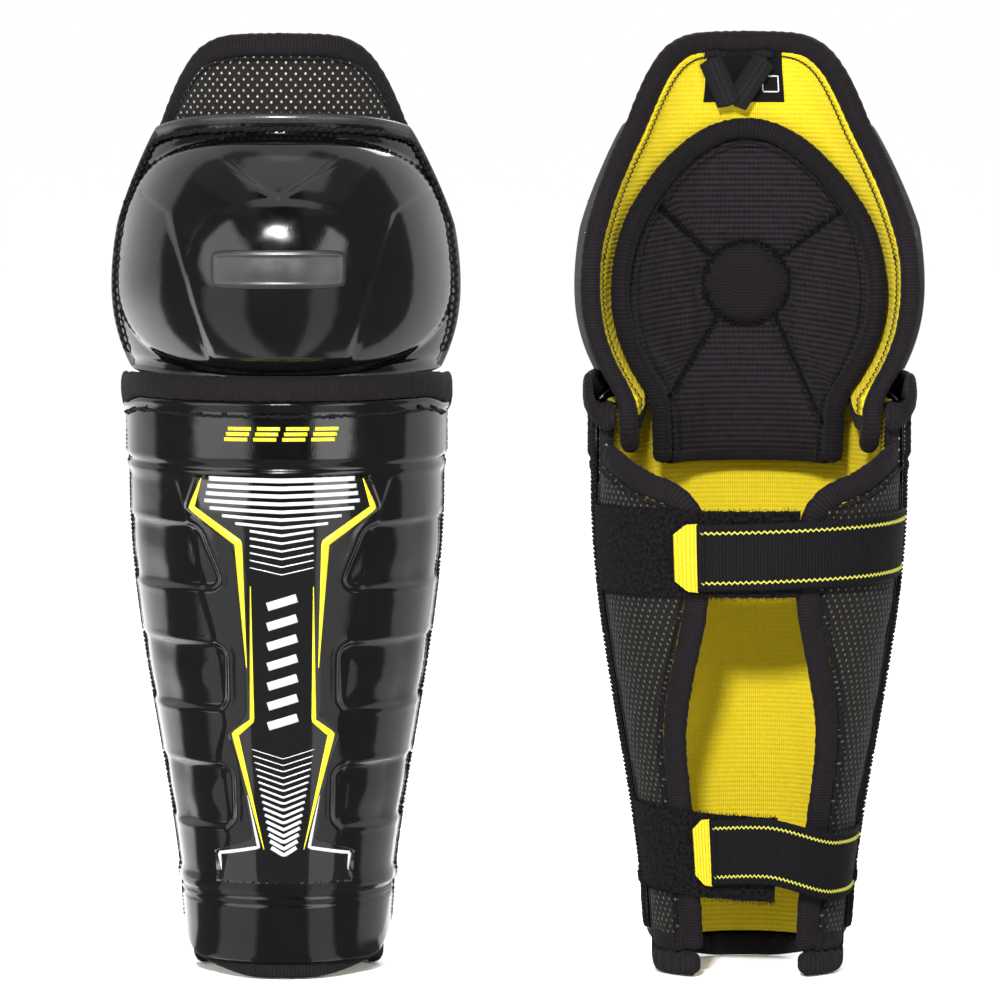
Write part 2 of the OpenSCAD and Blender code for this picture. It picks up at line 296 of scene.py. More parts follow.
def layer(where, place, high, low, s, t, front="high", coarse=(1, 1), slots=(0, 0), uv_shift=0.0):
    """Closed solid over a grid. where(S, T) gives angle and height, place() their points, and high and
    low give offsets from (S, T, a, z). The front face is the fine one."""
    grid_s, grid_t = np.meshgrid(s, t)
    a, z = where(grid_s, grid_t)
    top = place(a, z, high(grid_s, grid_t, a, z))
    bottom = place(a, z, low(grid_s, grid_t, a, z))
    width = knee_w(z) if place in (knee_at, cap_at) else shin_w(z)
    uv = np.stack([np.radians(a) * width + uv_shift, z], -1)
    faces = (top, bottom) if front == "high" else (bottom, top)
    return closed(*faces, uv, thinned(len(s), coarse[0]), thinned(len(t), coarse[1]), slots)


def dye(shape, s, t, chosen, slot):
    """Gives a layer's front faces another material where chosen(S, T) is true."""
    middle_s, middle_t = np.meshgrid((s[1:] + s[:-1]) / 2, (t[1:] + t[:-1]) / 2)
    for k in np.flatnonzero(chosen(middle_s, middle_t).ravel()):
        shape.slots[k] = slot


def unit(vectors):
    return vectors / np.linalg.norm(vectors, axis=1, keepdims=True)


def run_length(points):
    """Distance along a route at each of its points."""
    return np.concatenate([[0], np.cumsum(np.linalg.norm(np.diff(points, axis=0), axis=1))])


def tube_faces(count, sides):
    """Faces of a closed tube of count rings."""
    faces = []
    for k in range(count - 1):
        for i in range(sides):
            low, next_low = k * sides + i, k * sides + (i + 1) % sides
            faces.append((low, next_low, next_low + sides, low + sides))
    return faces + [tuple(reversed(range(sides))), tuple((count - 1) * sides + i for i in range(sides))]


def roll(path, outs, half_b, half_n, shift=0.0, sides=16, slot=0, power=1.0, shape=None):
    """Closed roll along a path, shift millimetres to one side of it.

    outs are the directions out of the surface that it lies on. power below 1 squares its section.
    """
    path, outs = np.asarray(path, float), np.asarray(outs, float)
    count = len(path)
    across = unit(np.cross(unit(np.gradient(path, axis=0)), outs))
    half_b = np.broadcast_to(half_b, count).astype(float)
    half_n = np.broadcast_to(half_n, count).astype(float)
    length = run_length(path)
    end = np.minimum(length, length[-1] - length)
    close = np.sqrt(np.clip(1 - (1 - np.clip(end / np.minimum(half_b, half_n), 0, 1)) ** 2, 0.002, 1))
    f = np.linspace(0, 2 * math.pi, sides, endpoint=False)
    cos = np.sign(np.cos(f)) * np.abs(np.cos(f)) ** power
    sin = np.sign(np.sin(f)) * np.abs(np.sin(f)) ** power
    b = across[:, None] * ((half_b * close)[:, None] * cos - shift)[..., None]
    n = outs[:, None] * ((half_n * close)[:, None] * sin)[..., None]
    girth = f / (2 * math.pi) * 2.6 * (half_b + half_n).mean() * 1.2
    uv = np.stack(np.broadcast_arrays(girth, length[:, None]), -1)
    return (shape or Shape()).add(path[:, None] + b + n, uv, tube_faces(count, sides), slot)


def resample(points, step):
    """The same route with its points a step apart."""
    points = np.asarray(points, float)
    length = run_length(points)
    count = max(3, round(length[-1] / step) + 1)
    places = np.linspace(0, length[-1], count)
    return np.stack([np.interp(places, length, points[:, k]) for k in range(points.shape[1])], -1)


def rounded_path(points, reach):
    """The same points, each moved to the mean of its neighbours up to reach places away."""
    count = len(points)
    result = np.empty_like(points)
    for k in range(count):
        near = min(reach, k, count - 1 - k)
        result[k] = points[k - near:k + near + 1].mean(axis=0)
    return result


def trail(curve, a, z, off, step, reach=0):
    """Route off millimetres out of a section curve, its points a step apart, and the directions out there.

    Each point has its angle and height after its place.
    """
    path = resample(np.column_stack([at(curve, a, z, off), a, z]), step)
    if reach:
        path = rounded_path(path, reach)
    return path, outward(curve, path[:, 3], path[:, 4])


def puckered(path, step, slow, slow_rate, seed, fast, fast_rate):
    """Factor near 1 along a trail that draws a roll in and out, as its seam does."""
    run = np.arange(len(path)) * step
    return 1 + slow * wave(run * slow_rate, seed) + fast * np.sin(run * fast_rate)


def leftward(route):
    """Unit directions square to a flat route."""
    run = unit(np.gradient(route, axis=0))
    return np.stack([-run[:, 1], run[:, 0]], -1)


def thread(shape, points, outs, radius, sides=6, slot=0):
    """A length of thread along points."""
    return roll(points, outs, radius, radius, sides=sides, slot=slot, shape=shape)


def stitch_row(shape, points, outs, length, radius, rise=0.5, slant=0.0, slot=0):
    """A stitch over each place of a route, dipping into the surface at both of its ends."""
    points, outs = np.asarray(points, float), np.asarray(outs, float)
    for point, out, run in zip(points, outs, unit(np.gradient(points, axis=0))):
        side = np.cross(out, run)
        half = (run + side * slant) * length / 2 * rng.uniform(0.9, 1.1)
        arc = [(-1, -0.7), (-0.75, 0.35), (0, rise + 0.35), (0.75, 0.35), (1, -0.7)]
        thread(shape, [point + half * x + out * y for x, y in arc], [out] * 5, radius, 6, slot)
    return shape


def wave(x, seed):
    """Slow random-looking wave between -1 and 1."""
    turns = ((1.0, 0.3), (2.3, 1.9), (4.1, 4.2), (7.7, 0.7))
    return sum(math.sin(seed * 1.7 + p) * np.sin(x * k + p + seed) for k, p in turns) / 2.2


def face_outwards(mesh):
    work = bmesh.new()
    work.from_mesh(mesh)
    bmesh.ops.recalc_face_normals(work, faces=work.faces)
    work.to_mesh(mesh)
    work.free()


def linked(data):
    """Object in the scene for a mesh, lamp or camera, under the same name."""
    obj = bpy.data.objects.new(data.name, data)
    bpy.context.scene.collection.objects.link(obj)
    return obj


def make(name, shape, body, materials, node_name):
    """Places a shape on both guards, in place of a CAD node if it has one.

    body is one body, which the piece is attached to, or a tuple of the two bodies that the piece lies
    between and two places; such a piece is baked into place and attached to neither.
    """
    for side, flip in SIDES.items():
        mesh = bpy.data.meshes.new(f"{side}_{name}")
        points = np.array(shape.points) * (1, flip, 1) + (CENTRE_X[side], 0, 0)
        mesh.from_pydata((points * MM).tolist(), [], shape.faces)
        for paint in materials:
            mesh.materials.append(paint)
        mesh.polygons.foreach_set("material_index", shape.slots)
        mesh.polygons.foreach_set("use_smooth", [True] * len(shape.faces))
        uv_map = mesh.uv_layers.new(name="grain")
        corners = np.empty(len(mesh.loops), np.int32)
        mesh.loops.foreach_get("vertex_index", corners)
        uv_map.data.foreach_set("uv", np.array(shape.uvs)[corners].ravel())
        face_outwards(mesh)
        obj = linked(mesh)
        if isinstance(body, tuple):
            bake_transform(obj)
        else:
            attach(obj, f"{side}_{body}")
        if node_name:
            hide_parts(f"{side}_{node_name}")


# ---- materials ----

YELLOW = (0.385, 0.30, 0.010)
INK_WHITE = (0.34, 0.345, 0.35)
KNIT_BLACK = (0.0050, 0.0040, 0.0049)


def material(name, **sockets):
    made = bpy.data.materials.new(name)
    made.use_nodes = True
    for socket, value in sockets.items():
        shader_of(made).inputs[socket.replace("_", " ")].default_value = value
    return made


def shader_of(made):
    return made.node_tree.nodes["Principled BSDF"]


def node(made, kind, inputs=None, **settings):
    """Adds a shader node. Each input is a constant or another node's output."""
    new = made.node_tree.nodes.new("ShaderNode" + kind)
    for key, value in settings.items():
        setattr(new, key, value)
    for key, value in (inputs or {}).items():
        if isinstance(value, bpy.types.NodeSocket):
            made.node_tree.links.new(value, new.inputs[key])
        else:
            new.inputs[key].default_value = value
    return new


def drive(made, socket, output):
    made.node_tree.links.new(output, shader_of(made).inputs[socket])


def math_node(made, operation, first, second=0.5):
    return node(made, "Math", {0: first, 1: second}, operation=operation).outputs[0]


def grain(made):
    """The piece's own millimetres: u across, v up or along."""
    return node(made, "UVMap", uv_map="grain").outputs["UV"]


def split_grain(made):
    parts = node(made, "SeparateXYZ", {"Vector": grain(made)})
    return parts.outputs["X"], parts.outputs["Y"]


def ribs(made, coordinate, pitch):
    """0 to 1 and back once every pitch millimetres."""
    turned = math_node(made, "MULTIPLY", coordinate, 2 * math.pi / pitch)
    wave_out = math_node(made, "SINE", turned)
    return math_node(made, "MULTIPLY_ADD", wave_out, 0.5)


def noise(made, scale, detail=4.0, stretch=(1, 1, 1)):
    place = node(made, "Mapping", {"Vector": grain(made), "Scale": stretch}).outputs[0]
    return node(made, "TexNoise", {"Vector": place, "Scale": scale, "Detail": detail}).outputs["Fac"]


def ramp(made, value, low, high, start=0.0, end=1.0):
    """Colour or grey from low to high as value goes from start to end."""
    colours = node(made, "ValToRGB", {"Fac": value})
    colours.color_ramp.elements[0].position = start
    colours.color_ramp.elements[1].position = end
    colours.color_ramp.elements[0].color = low
    colours.color_ramp.elements[1].color = high
    return colours.outputs["Color"]


def grey(value):
    return (value, value, value, 1)


def bump(made, height, depth, under=None):
    """Bump of that many millimetres, on top of another bump if there is one."""
    inputs = {"Height": height, "Distance": depth * MM, "Strength": 1.0}
    if under is not None:
        inputs["Normal"] = under
    out = node(made, "Bump", inputs).outputs[0]
    drive(made, "Normal", out)
    return out


def scaled(colour, factor):
    return tuple(c * factor for c in colour) + (1,)


def tint(made, value, colour, dark, bright, start=0.3, end=0.7):
    """Base colour from dark to bright times a colour, as value goes from start to end."""
    drive(made, "Base Color", ramp(made, value, scaled(colour, dark), scaled(colour, bright), start, end))


def roughen(made, value, low, high, start=0.3, end=0.7):
    drive(made, "Roughness", ramp(made, value, grey(low), grey(high), start, end))


def mixed(made, first, share, second, other_share):
    """first times share plus second times other_share."""
    scaled_first = math_node(made, "MULTIPLY", first, share)
    return math_node(made, "ADD", scaled_first, math_node(made, "MULTIPLY", second, other_share))


def fabric(name, sheen, sheen_roughness, specular):
    return material(name, Sheen_Weight=sheen, Sheen_Roughness=sheen_roughness, Specular_IOR_Level=specular)


def gloss_plastic(name, colour, low, high, dust=0.02):
    made = material(name, Specular_IOR_Level=0.5, IOR=1.5)
    tint(made, noise(made, 0.08), colour, 0.8, 1.3)
    roughen(made, noise(made, 0.12, 6), low, high, 0.35, 0.75)
    waves = bump(made, noise(made, 0.06, 2), 0.25)
    bump(made, noise(made, 2.5, 3, (1, 0.15, 1)), dust, waves)
    return made


def knit(name, colour, pitch=1.1, across=False, sheen=0.02, low=0.55, high=1.7):
    """Fine ribbed knit: ribs run across a roll, or along it."""
    made = fabric(name, sheen, 0.45, 0.06)
    u, v = split_grain(made)
    rib = ribs(made, u if across else v, pitch)
    loops = ribs(made, v if across else u, pitch * 0.8)
    cloth = math_node(made, "MULTIPLY", rib, math_node(made, "MULTIPLY_ADD", loops, 0.5))
    mottle = noise(made, 0.35, 5)
    tint(made, mixed(made, cloth, 0.5, mottle, 0.5), colour, low, high, 0.1, 0.8)
    roughen(made, mottle, 0.78, 0.95)
    bump(made, noise(made, 3.0, 3), 0.10, bump(made, cloth, 0.16))
    return made


def dotted_mesh(name, ground, dot, dot_size):
    """Air mesh: staggered pale dots, 3.6 mm apart along each row and 2.1 mm from row to row."""
    made = fabric(name, 0.03, 0.5, 0.1)
    place = grain(made)
    lattice = []
    for slope in (1 / 4.2, -1 / 4.2):
        skewed = node(made, "VectorMath", {0: place, 1: (1 / 3.6, slope, 0)}, operation="DOT_PRODUCT")
        lattice.append(skewed.outputs["Value"])
    lattice = node(made, "CombineXYZ", dict(zip("XY", lattice))).outputs[0]
    cell_inputs = {"Vector": lattice, "Scale": 1.0, "Randomness": 0.12}
    near = node(made, "TexVoronoi", cell_inputs, voronoi_dimensions="2D").outputs["Distance"]
    pale = ramp(made, noise(made, 0.9, 4), scaled(dot, 0.45), scaled(dot, 1.25), 0.3, 0.65)
    dark = ramp(made, noise(made, 2.2, 2), scaled(ground, 0.5), scaled(ground, 2.0), 0.3, 0.7)
    mask = ramp(made, near, grey(1), grey(0), dot_size * 0.65, dot_size)
    drive(made, "Base Color", node(made, "Mix", {0: mask, 6: dark, 7: pale}, data_type="RGBA").outputs[2])
    roughen(made, near, 0.55, 0.9, 0.1, 0.4)
    under = bump(made, ramp(made, near, grey(1), grey(0), 0.05, 0.5), 0.35)
    bump(made, noise(made, 2.5, 3), 0.12, under)
    return made


def woven(name, colour, pitch_u, pitch_v, sheen=0.04, contrast=1.6):
    """Plain weave with warp and weft at those pitches in millimetres."""
    made = fabric(name, sheen, 0.4, 0.06)
    u, v = split_grain(made)
    warp, weft = ribs(made, u, pitch_u), ribs(made, v, pitch_v)
    cloth = math_node(made, "MULTIPLY_ADD", math_node(made, "MULTIPLY", warp, weft), 0.5)
    both = mixed(made, warp, 0.6, cloth, 0.5)
    mottle = noise(made, 0.5, 4)
    tint(made, mixed(made, both, 0.6, mottle, 0.4), colour, 1 / contrast, contrast**0.5, 0.15, 0.8)
    roughen(made, mottle, 0.65, 0.9)
    bump(made, noise(made, 3.5, 2), 0.06, bump(made, both, 0.18))
    return made


def twisted_thread(name, colour):
    made = fabric(name, 0.02, 0.4, 0.08)
    ply = ribs(made, math_node(made, "ADD", *split_grain(made)), 0.8)
    tint(made, ply, colour, 0.6, 1.2, 0, 1)
    roughen(made, noise(made, 1.0), 0.5, 0.8)
    bump(made, ply, 0.12)
    return made


def pile(name, colour):
    """Brushed loop fabric."""
    made = fabric(name, 0.015, 0.7, 0.02)
    fuzz = noise(made, 0.7, 8)
    tint(made, fuzz, colour, 0.1, 4.5, 0.36, 0.68)
    roughen(made, fuzz, 0.85, 1.0, 0, 1)
    bump(made, fuzz, 0.9)
    return made


def printed_film(name, colour, roughness):
    made = material(name, Specular_IOR_Level=0.5, Coat_Weight=0.6, Coat_Roughness=0.06)
    tint(made, noise(made, 0.6, 3), colour, 0.93, 1.05)
    roughen(made, noise(made, 0.2, 5), roughness, roughness * 1.8)
    bump(made, noise(made, 0.06, 2), 0.15)
    return made


SHELL = gloss_plastic("gloss_black_plastic", (0.0016, 0.0015, 0.0016), 0.08, 0.16)
SHELL_RIM = gloss_plastic("satin_rim_plastic", (0.016, 0.0155, 0.016), 0.22, 0.34, 0.05)
BADGE = gloss_plastic("badge_plastic", (0.010, 0.010, 0.011), 0.28, 0.40, 0.03)
KNIT = knit("black_knit_binding", KNIT_BLACK)
KNIT_TAPE = knit("pad_tape_knit", (0.0042, 0.0034, 0.0042), 1.5)
# Strong colour ribs: in knee_pad they lie in step with the pad's moulded ribs, as painted shade in the rib
# grooves and painted highlight on the rib crests.
RIBBED_PAD = knit("ribbed_pad_fabric", (0.0062, 0.0050, 0.0061), 2.1, sheen=0.03, low=0.25, high=2.1)
# Darker copy of the pad's knit for the faces along its seams: painted shade in the seam hollows.
PAD_SEAM_SHADE_KNIT = knit("pad_seam_painted_shade", (0.0016, 0.0013, 0.0016), 1.1)
HEM_KNIT = knit("hem_knit", (0.0062, 0.0054, 0.0062), 1.4, across=True)
FLAP_MESH = dotted_mesh("flap_air_mesh", (0.0045, 0.0041, 0.0038), (0.22, 0.21, 0.175), 0.19)
WING_MESH = dotted_mesh("wing_air_mesh", (0.0040, 0.0036, 0.0033), (0.060, 0.056, 0.048), 0.19)
LINING = woven("yellow_lining", YELLOW, 0.9, 0.9, 0.02, 1.35)
WEBBING = woven("black_webbing", (0.0030, 0.0028, 0.0033), 1.1, 0.55, 0.01, 2.2)
PULL_TAB = woven("yellow_webbing", (0.31, 0.247, 0.010), 1.4, 0.8, 0.02, 1.9)
RIBBON = woven("black_ribbon", (0.0048, 0.0047, 0.0056), 0.5, 0.9, 0.01, 2.0)
LABEL = woven("black_label", (0.0036, 0.0036, 0.0042), 0.4, 0.4, 0.01, 1.8)
THREAD = twisted_thread("black_thread", (0.0045, 0.0045, 0.0050))
YELLOW_THREAD = twisted_thread("yellow_thread", (0.37, 0.36, 0.055))
WHITE_THREAD = twisted_thread("white_thread", (0.40, 0.40, 0.39))
PILE = pile("loop_pile", (0.0012, 0.0010, 0.0012))
HOOKS = pile("hook_pile", (0.012, 0.012, 0.012))
FOAM = pile("grey_foam", (0.045, 0.045, 0.048))
FILM = printed_film("black_film", (0.0020, 0.0020, 0.0023), 0.05)
WHITE_INK = printed_film("white_ink", INK_WHITE, 0.16)
YELLOW_INK = printed_film("yellow_ink", (0.47, 0.41, 0.006), 0.16)


# ---- knee unit ----

def base_dome(a, z):
    r = dome_share(a, z)
    return 19.5 * (1 - np.clip(r, 0, 1) ** 2.6) + 2.5 * smooth((1 - r) / 0.06)


def knee_relief(a, z):
    """How far the moulded cap stands out of its flange: dome, brow ledge, facets and lower bulb."""
    rise = base_dome(a, z)
    x = np.abs(knee_at(a, z, 3)[..., 0])
    inner = smooth((1 - dome_share(a, z)) / 0.16)
    facet_x = np.interp(z, [240, 291, 296.5, 303.5], [26, 42, 51, 66])
    facet = smooth((facet_x - x) / 3.0 + 0.5)
    notch = smooth((z - 297 - 0.63 * x) / 2.6 + 0.5) * smooth((25 - x) / 9)
    bulb = np.clip(1 - (x / 34) ** 2.6 - (np.abs(z - 262.5) / 34) ** 2.6, 0, 1) ** 0.7
    return rise + inner * (1.5 * facet - 1.1 * notch + 2.0 * bulb)


def at_gap(s, t, a, z):
    """Offset of the inner face of what lies on a liner."""
    return GAP


def rim_bead(gap, size=1.3, width=3.4):
    return size * np.sqrt(np.clip(1 - ((gap - width / 2) / (width / 2)) ** 2, 0, 1))


def knee_shell():
    width, height, step = 176, 96, 0.9
    s, t = samples(width, step), samples(height, step)

    def where(s, t):
        a = mix(-KNEE_WRAP, KNEE_WRAP, s)
        return a, mix(shell_bottom(a), shell_top(a), t)

    def high(s, t, a, z):
        gap = edge_gap(s, t, width, height)
        groove = 0.5 * np.exp(-(((gap - 6.2) / 1.6) ** 2))
        body = SHELL_T * rounding(s, t, width, height, 1.2)
        return GAP + body + rim_bead(gap) - groove

    shape = layer(where, cap_at, high, at_gap, s, t, coarse=(5, 5), slots=(0, 1))
    dye(shape, s, t, lambda s, t: edge_gap(s, t, width, height) < 3.6, 1)
    make("moulded_knee_shell", shape, "knee", [SHELL, SHELL_RIM], "knee_shell")


def knee_badge():
    """Blank raised plate, 4 mm higher and 9 mm wider than the CAD's, as in the photo."""
    half_x, z0, z1 = 25.0, 263.9, 278.3
    width, height = 50, 14.4

    def where(s, t):
        u, v = 2 * s - 1, 2 * t - 1
        x = half_x * u * (1 - 0.05 * v**8)
        z = (z0 + z1) / 2 + (z1 - z0) / 2 * v * (1 - 0.12 * u**8)
        return np.degrees(np.arcsin(x / (knee_w(z) + 3))), z

    def high(s, t, a, z):
        gap = edge_gap(s, t, width, height)
        frame_line = 0.25 * np.exp(-(((gap - 1.7) / 0.5) ** 2))
        return GAP + SHELL_T + 0.9 * rounding(s, t, width, height, 0.8) + frame_line - 0.1

    def low(s, t, a, z):
        return GAP + SHELL_T - 0.1

    shape = layer(where, cap_at, high, low, samples(width, 0.7), samples(height, 0.5), coarse=(4, 4))
    make("blank_badge", shape, "knee", [BADGE], "knee_badge")


def knee_stitching():
    """Ragged thick stitches just inside the shell's rim, over the top and down both sides."""
    side_a = 72.3
    side_z = np.linspace(shell_top(side_a) - 7.5, 238, 12)
    route = [(-side_a, z) for z in side_z[::-1]]
    route += [(a, float(shell_top(a)) - 6.2) for a in np.linspace(-70.5, 70.5, 60)]
    route += [(side_a, z) for z in side_z]
    a, z = np.array(route).T
    path, _ = trail(knee_curve, a, z, 3.0, 4.4)
    turn = np.arange(len(path))
    a = path[:, 3] + 0.5 * wave(turn, 2)
    z = path[:, 4] + 0.4 * wave(turn * 1.3, 5)
    points = cap_at(a, z, GAP + SHELL_T + 0.15)
    shape = stitch_row(Shape(), points, outward(knee_curve, a, z), 4.1, 0.85, 0.7, 0.16)
    make("knee_thread", shape, "knee", [THREAD], "knee_stitching")


def flap_half_angle(z):
    """Half angle of the knee liner at a height: the other way round from liner_top."""
    a = np.linspace(0, KNEE_RIM_A, 161)
    return np.interp(-z, -liner_top(a), a)


def knee_lining():
    z0, z1, width, height = KNEE_Z0, LINER_Z1 - 0.25, 150, 130
    rows = np.arange(z0, z1, RIB_PITCH / 4)
    t = (rows - z0) / (z1 - z0)
    t[-1] = 1

    def where(s, t):
        z = mix(z0, z1, t)
        a = (2 * s - 1) * flap_half_angle(z)
        return a, z - 20 * smooth((np.abs(a) - 55) / 17) * (1 - smooth((z - z0) / 40))

    def outer(s, t, a, z):
        return -3 + 3.0 * rounding(s, t, width, height, 1.5)

    def inner(s, t, a, z):
        rib = np.abs(np.sin(math.pi * (mix(z0, z1, t) - z0) / RIB_PITCH))
        soft = 0.25 * wave(a * 0.06 + z * 0.05, 3)
        return -3 - (2.6 + 0.5 * rib + soft) * rounding(s, t, width, height, 1.5)

    s = samples(width, 2.4, 1.5)
    shape = layer(where, knee_at, outer, inner, s, t, "low", (2, 9), (0, 1))
    dye(shape, s, t, lambda s, t: (np.abs(2 * s - 1) > 0.78) & (t < 0.045), 2)
    make("knee_lining", shape, "knee", [LINING, FLAP_MESH, KNIT], "knee_liner")


def knee_binding():
    """Padded knit roll round the liner, puckered where its seam draws it in."""
    half = [(75, 205), (79, 205.5)] + [(KNEE_RIM_A, z) for z in np.arange(209, 264, 6)]
    half += [(a, float(liner_top(a))) for a in np.arange(79.5, 1, -1.5)]
    route = [(-a, z) for a, z in half] + [(0, LINER_Z1)] + half[::-1]
    a, z = np.array(route).T
    path, outs = trail(knee_curve, a, z, -LINER_T / 2 + 0.2, 1.6, 5)
    pucker = puckered(path, 1.6, 0.035, 0.16, 1, 0.02, 1.05)
    shape = roll(path[:, :3], outs, 4.3 * pucker, 3.7 * pucker, 3.2, 22, power=0.85)
    make("knee_edge_roll", shape, "knee", [KNIT], "knee_binding")
    seam = Shape()
    a, z = path[12:-12, 3], path[12:-12, 4]
    for off, lift in ((0.35, 1), (-LINER_T - 0.35, -1)):
        line, outs = trail(knee_curve, a * 0.968, z - 1.9 * (np.abs(a) < 79), off, 3.0)
        stitch_row(seam, line[:, :3], lift * outs, 2.3, 0.3)
    make("knee_edge_seam", seam, "knee", [THREAD], None)


# ---- quilted knee pad ----

DISC_R, DISC_Z = 16.0, 260.0
PAD_RIB = 2.1
CLOTH_FRAMES = 20
PAD_SEAMS = [((-12.9, 270), (-37, 294)), ((12.9, 270), (38, 291)),
             ((-10.6, 247.5), (-31, 212)), ((10.6, 247.5), (28, 207))]


def seam_gap(x, z):
    """Distance in millimetres from the pad's nearest seam."""
    best = np.abs(np.hypot(x, z - DISC_Z) - DISC_R)
    for (x0, z0), (x1, z1) in PAD_SEAMS:
        dx, dz = x1 - x0, z1 - z0
        along = np.clip(((x - x0) * dx + (z - z0) * dz) / (dx ** 2 + dz ** 2), 0, 1)
        best = np.minimum(best, np.hypot(x - x0 - along * dx, z - z0 - along * dz))
    return best


def pad_where(s, t):
    u = 2 * s - 1
    return u * pad_half_a(t), pad_height(u, t)


def puffed_pad(count_s=49, count_t=47):
    """Inner face of the quilted pad: cloth filled with air, held down along its seams and its outline."""
    s, t = np.meshgrid(np.linspace(0, 1, count_s), np.linspace(0, 1, count_t))
    a, z = pad_where(s, t)
    puff = rounding(s, t, PAD_W, PAD_H, 9)
    x = knee_at(a, z, PAD_FRONT)[..., 0]
    seam = np.clip(seam_gap(x, z) / 7, 0, 1)
    flat = PAD_FRONT - 1.2 - (PAD_T - 4.2) * puff * (0.45 + 0.55 * np.sqrt(seam))
    inner = knee_at(a, z, flat)
    outer = knee_at(a, z, PAD_FRONT - 0.8)
    shape = closed(inner, outer, np.stack([a, z], -1), list(range(count_s)), list(range(count_t)))
    mesh = bpy.data.meshes.new("pad_cloth")
    mesh.from_pydata((np.array(shape.points) * MM).tolist(), [], shape.faces)
    cloth = linked(mesh)
    face_outwards(mesh)
    inner_count = count_s * count_t
    outline = edge_gap(s, t, PAD_W, PAD_H).ravel() < 1
    held = list(range(inner_count, len(mesh.vertices)))
    held += np.flatnonzero(outline | (seam.ravel() < 0.2)).tolist()
    cloth.vertex_groups.new(name="sewn").add(held, 1.0, "REPLACE")
    settings = cloth.modifiers.new("air", "CLOTH").settings
    settings.vertex_group_mass = "sewn"
    settings.use_pressure = True
    settings.uniform_pressure_force = 4
    settings.tension_stiffness = 6
    settings.compression_stiffness = 3
    settings.bending_stiffness = 0.2
    settings.effector_weights.gravity = 0
    scene = bpy.context.scene
    for frame_number in range(1, CLOTH_FRAMES + 1):
        scene.frame_set(frame_number)
    swollen = cloth.evaluated_get(bpy.context.evaluated_depsgraph_get()).to_mesh()
    points = np.empty(len(swollen.vertices) * 3)
    swollen.vertices.foreach_get("co", points)
    moved = points.reshape(-1, 3)[:inner_count].reshape(count_t, count_s, 3) / MM - inner
    bpy.data.objects.remove(cloth)
    scene.frame_set(1)
    size = np.linalg.norm(moved, axis=-1, keepdims=True)
    return inner + moved * np.minimum(1, 3.8 / np.maximum(size, 1e-6))


def finer(grid, s, t):
    """Smooth values of a point grid at places s and t from 0 to 1."""
    def along(values, places):
        last = len(values) - 1
        spot = np.clip(places * last, 0, last - 1e-6)
        k = spot.astype(int)
        f = (spot - k)[:, None, None]
        p0, p1 = values[np.clip(k - 1, 0, last)], values[k]
        p2, p3 = values[np.clip(k + 1, 0, last)], values[np.clip(k + 2, 0, last)]
        return p1 + f / 2 * (p2 - p0 + f * (2 * p0 - 5 * p1 + 4 * p2 - p3 + f * (3 * (p1 - p2) + p3 - p0)))
    rows = along(grid, t)
    return np.swapaxes(along(np.swapaxes(rows, 0, 1), s), 0, 1)


def knee_pad():
    s, t = samples(PAD_W, 1.5, 2.0), samples(PAD_H, 0.5, 2.0)
    grid_s, grid_t = np.meshgrid(s, t)
    a, z = pad_where(grid_s, grid_t)
    inner = finer(puffed_pad(), s, t)
    x, z_seen = inner[..., 0], inner[..., 2]
    gap = seam_gap(x, z_seen)
    in_disc = np.hypot(x, z_seen - DISC_Z) < DISC_R
    side = smooth((np.abs(x) - 0.8 * np.abs(z_seen - DISC_Z)) / 5)
    run = z_seen + 0.12 * side * (np.abs(x) - DISC_R)
    rib = np.abs(np.sin(math.pi * run / PAD_RIB))
    ribbing = 0.62 * (1 - rib) * np.where(in_disc, 0.12, 1) * smooth((gap - 0.8) / 2)
    pucker = 0.35 * np.sin(1.9 * (x + z_seen)) * np.exp(-((gap - 2.0) / 1.6) ** 2)
    sink = 2.3 * np.exp(-((gap / 1.9) ** 2)) + ribbing + pucker
    share = rounding(grid_s, grid_t, PAD_W, PAD_H, 3)[..., None]
    outs = outward(knee_curve, a, z)
    outline = knee_at(a, z, PAD_FRONT - PAD_T / 2)
    inner = outline + (inner + outs * sink[..., None] - outline) * share
    outer = outline + (knee_at(a, z, PAD_FRONT) - outline) * share
    # The grain's quarter-rib shift puts the dark colour ribs in the moulded rib grooves: painted shade
    # there, and painted highlight on the crests.
    uv = np.stack([np.radians(a) * 45, run - PAD_RIB / 4], -1)
    shape = closed(inner, outer, uv, thinned(len(s), 3), thinned(len(t), 9))
    for k in np.flatnonzero(in_disc[:-1, :-1]):
        shape.slots[k] = 1
    # Faces within 1 mm of a seam take the darker seam knit: painted shade in the seam hollows.
    for k in np.flatnonzero(gap[:-1, :-1] < 1.0):
        shape.slots[k] = 2
    fabrics = [RIBBED_PAD, KNIT, PAD_SEAM_SHADE_KNIT]
    make("quilted_knee_pad", shape, "knee", fabrics, "knee_pad")
    pad_threads(inner)
    pad_tape()


def pad_threads(inner):
    """Zigzag stitches along the seams, lying on the pad's inner face."""
    flat = inner.reshape(-1, 3)

    def on_pad(x, z):
        near = np.argmin((flat[:, 0] - x) ** 2 + (flat[:, 2] - z) ** 2)
        return flat[near]

    shape = Shape()
    turns = np.linspace(0, 2 * math.pi, 73)
    circle = [(DISC_R * math.sin(f), DISC_Z + DISC_R * math.cos(f)) for f in turns]
    for line in PAD_SEAMS + [circle]:
        places = resample(line, 1.5)
        sway = np.where(np.arange(len(places)) % 2, 1.1, -1.1)[:, None]
        zigzag = places + leftward(places) * sway
        points = np.array([on_pad(x, z) for x, z in zigzag]) + (0, 0.35, 0)
        thread(shape, points, [(0, 1, 0)] * len(points), 0.32)
    make("pad_zigzag", shape, "knee", [THREAD], None)


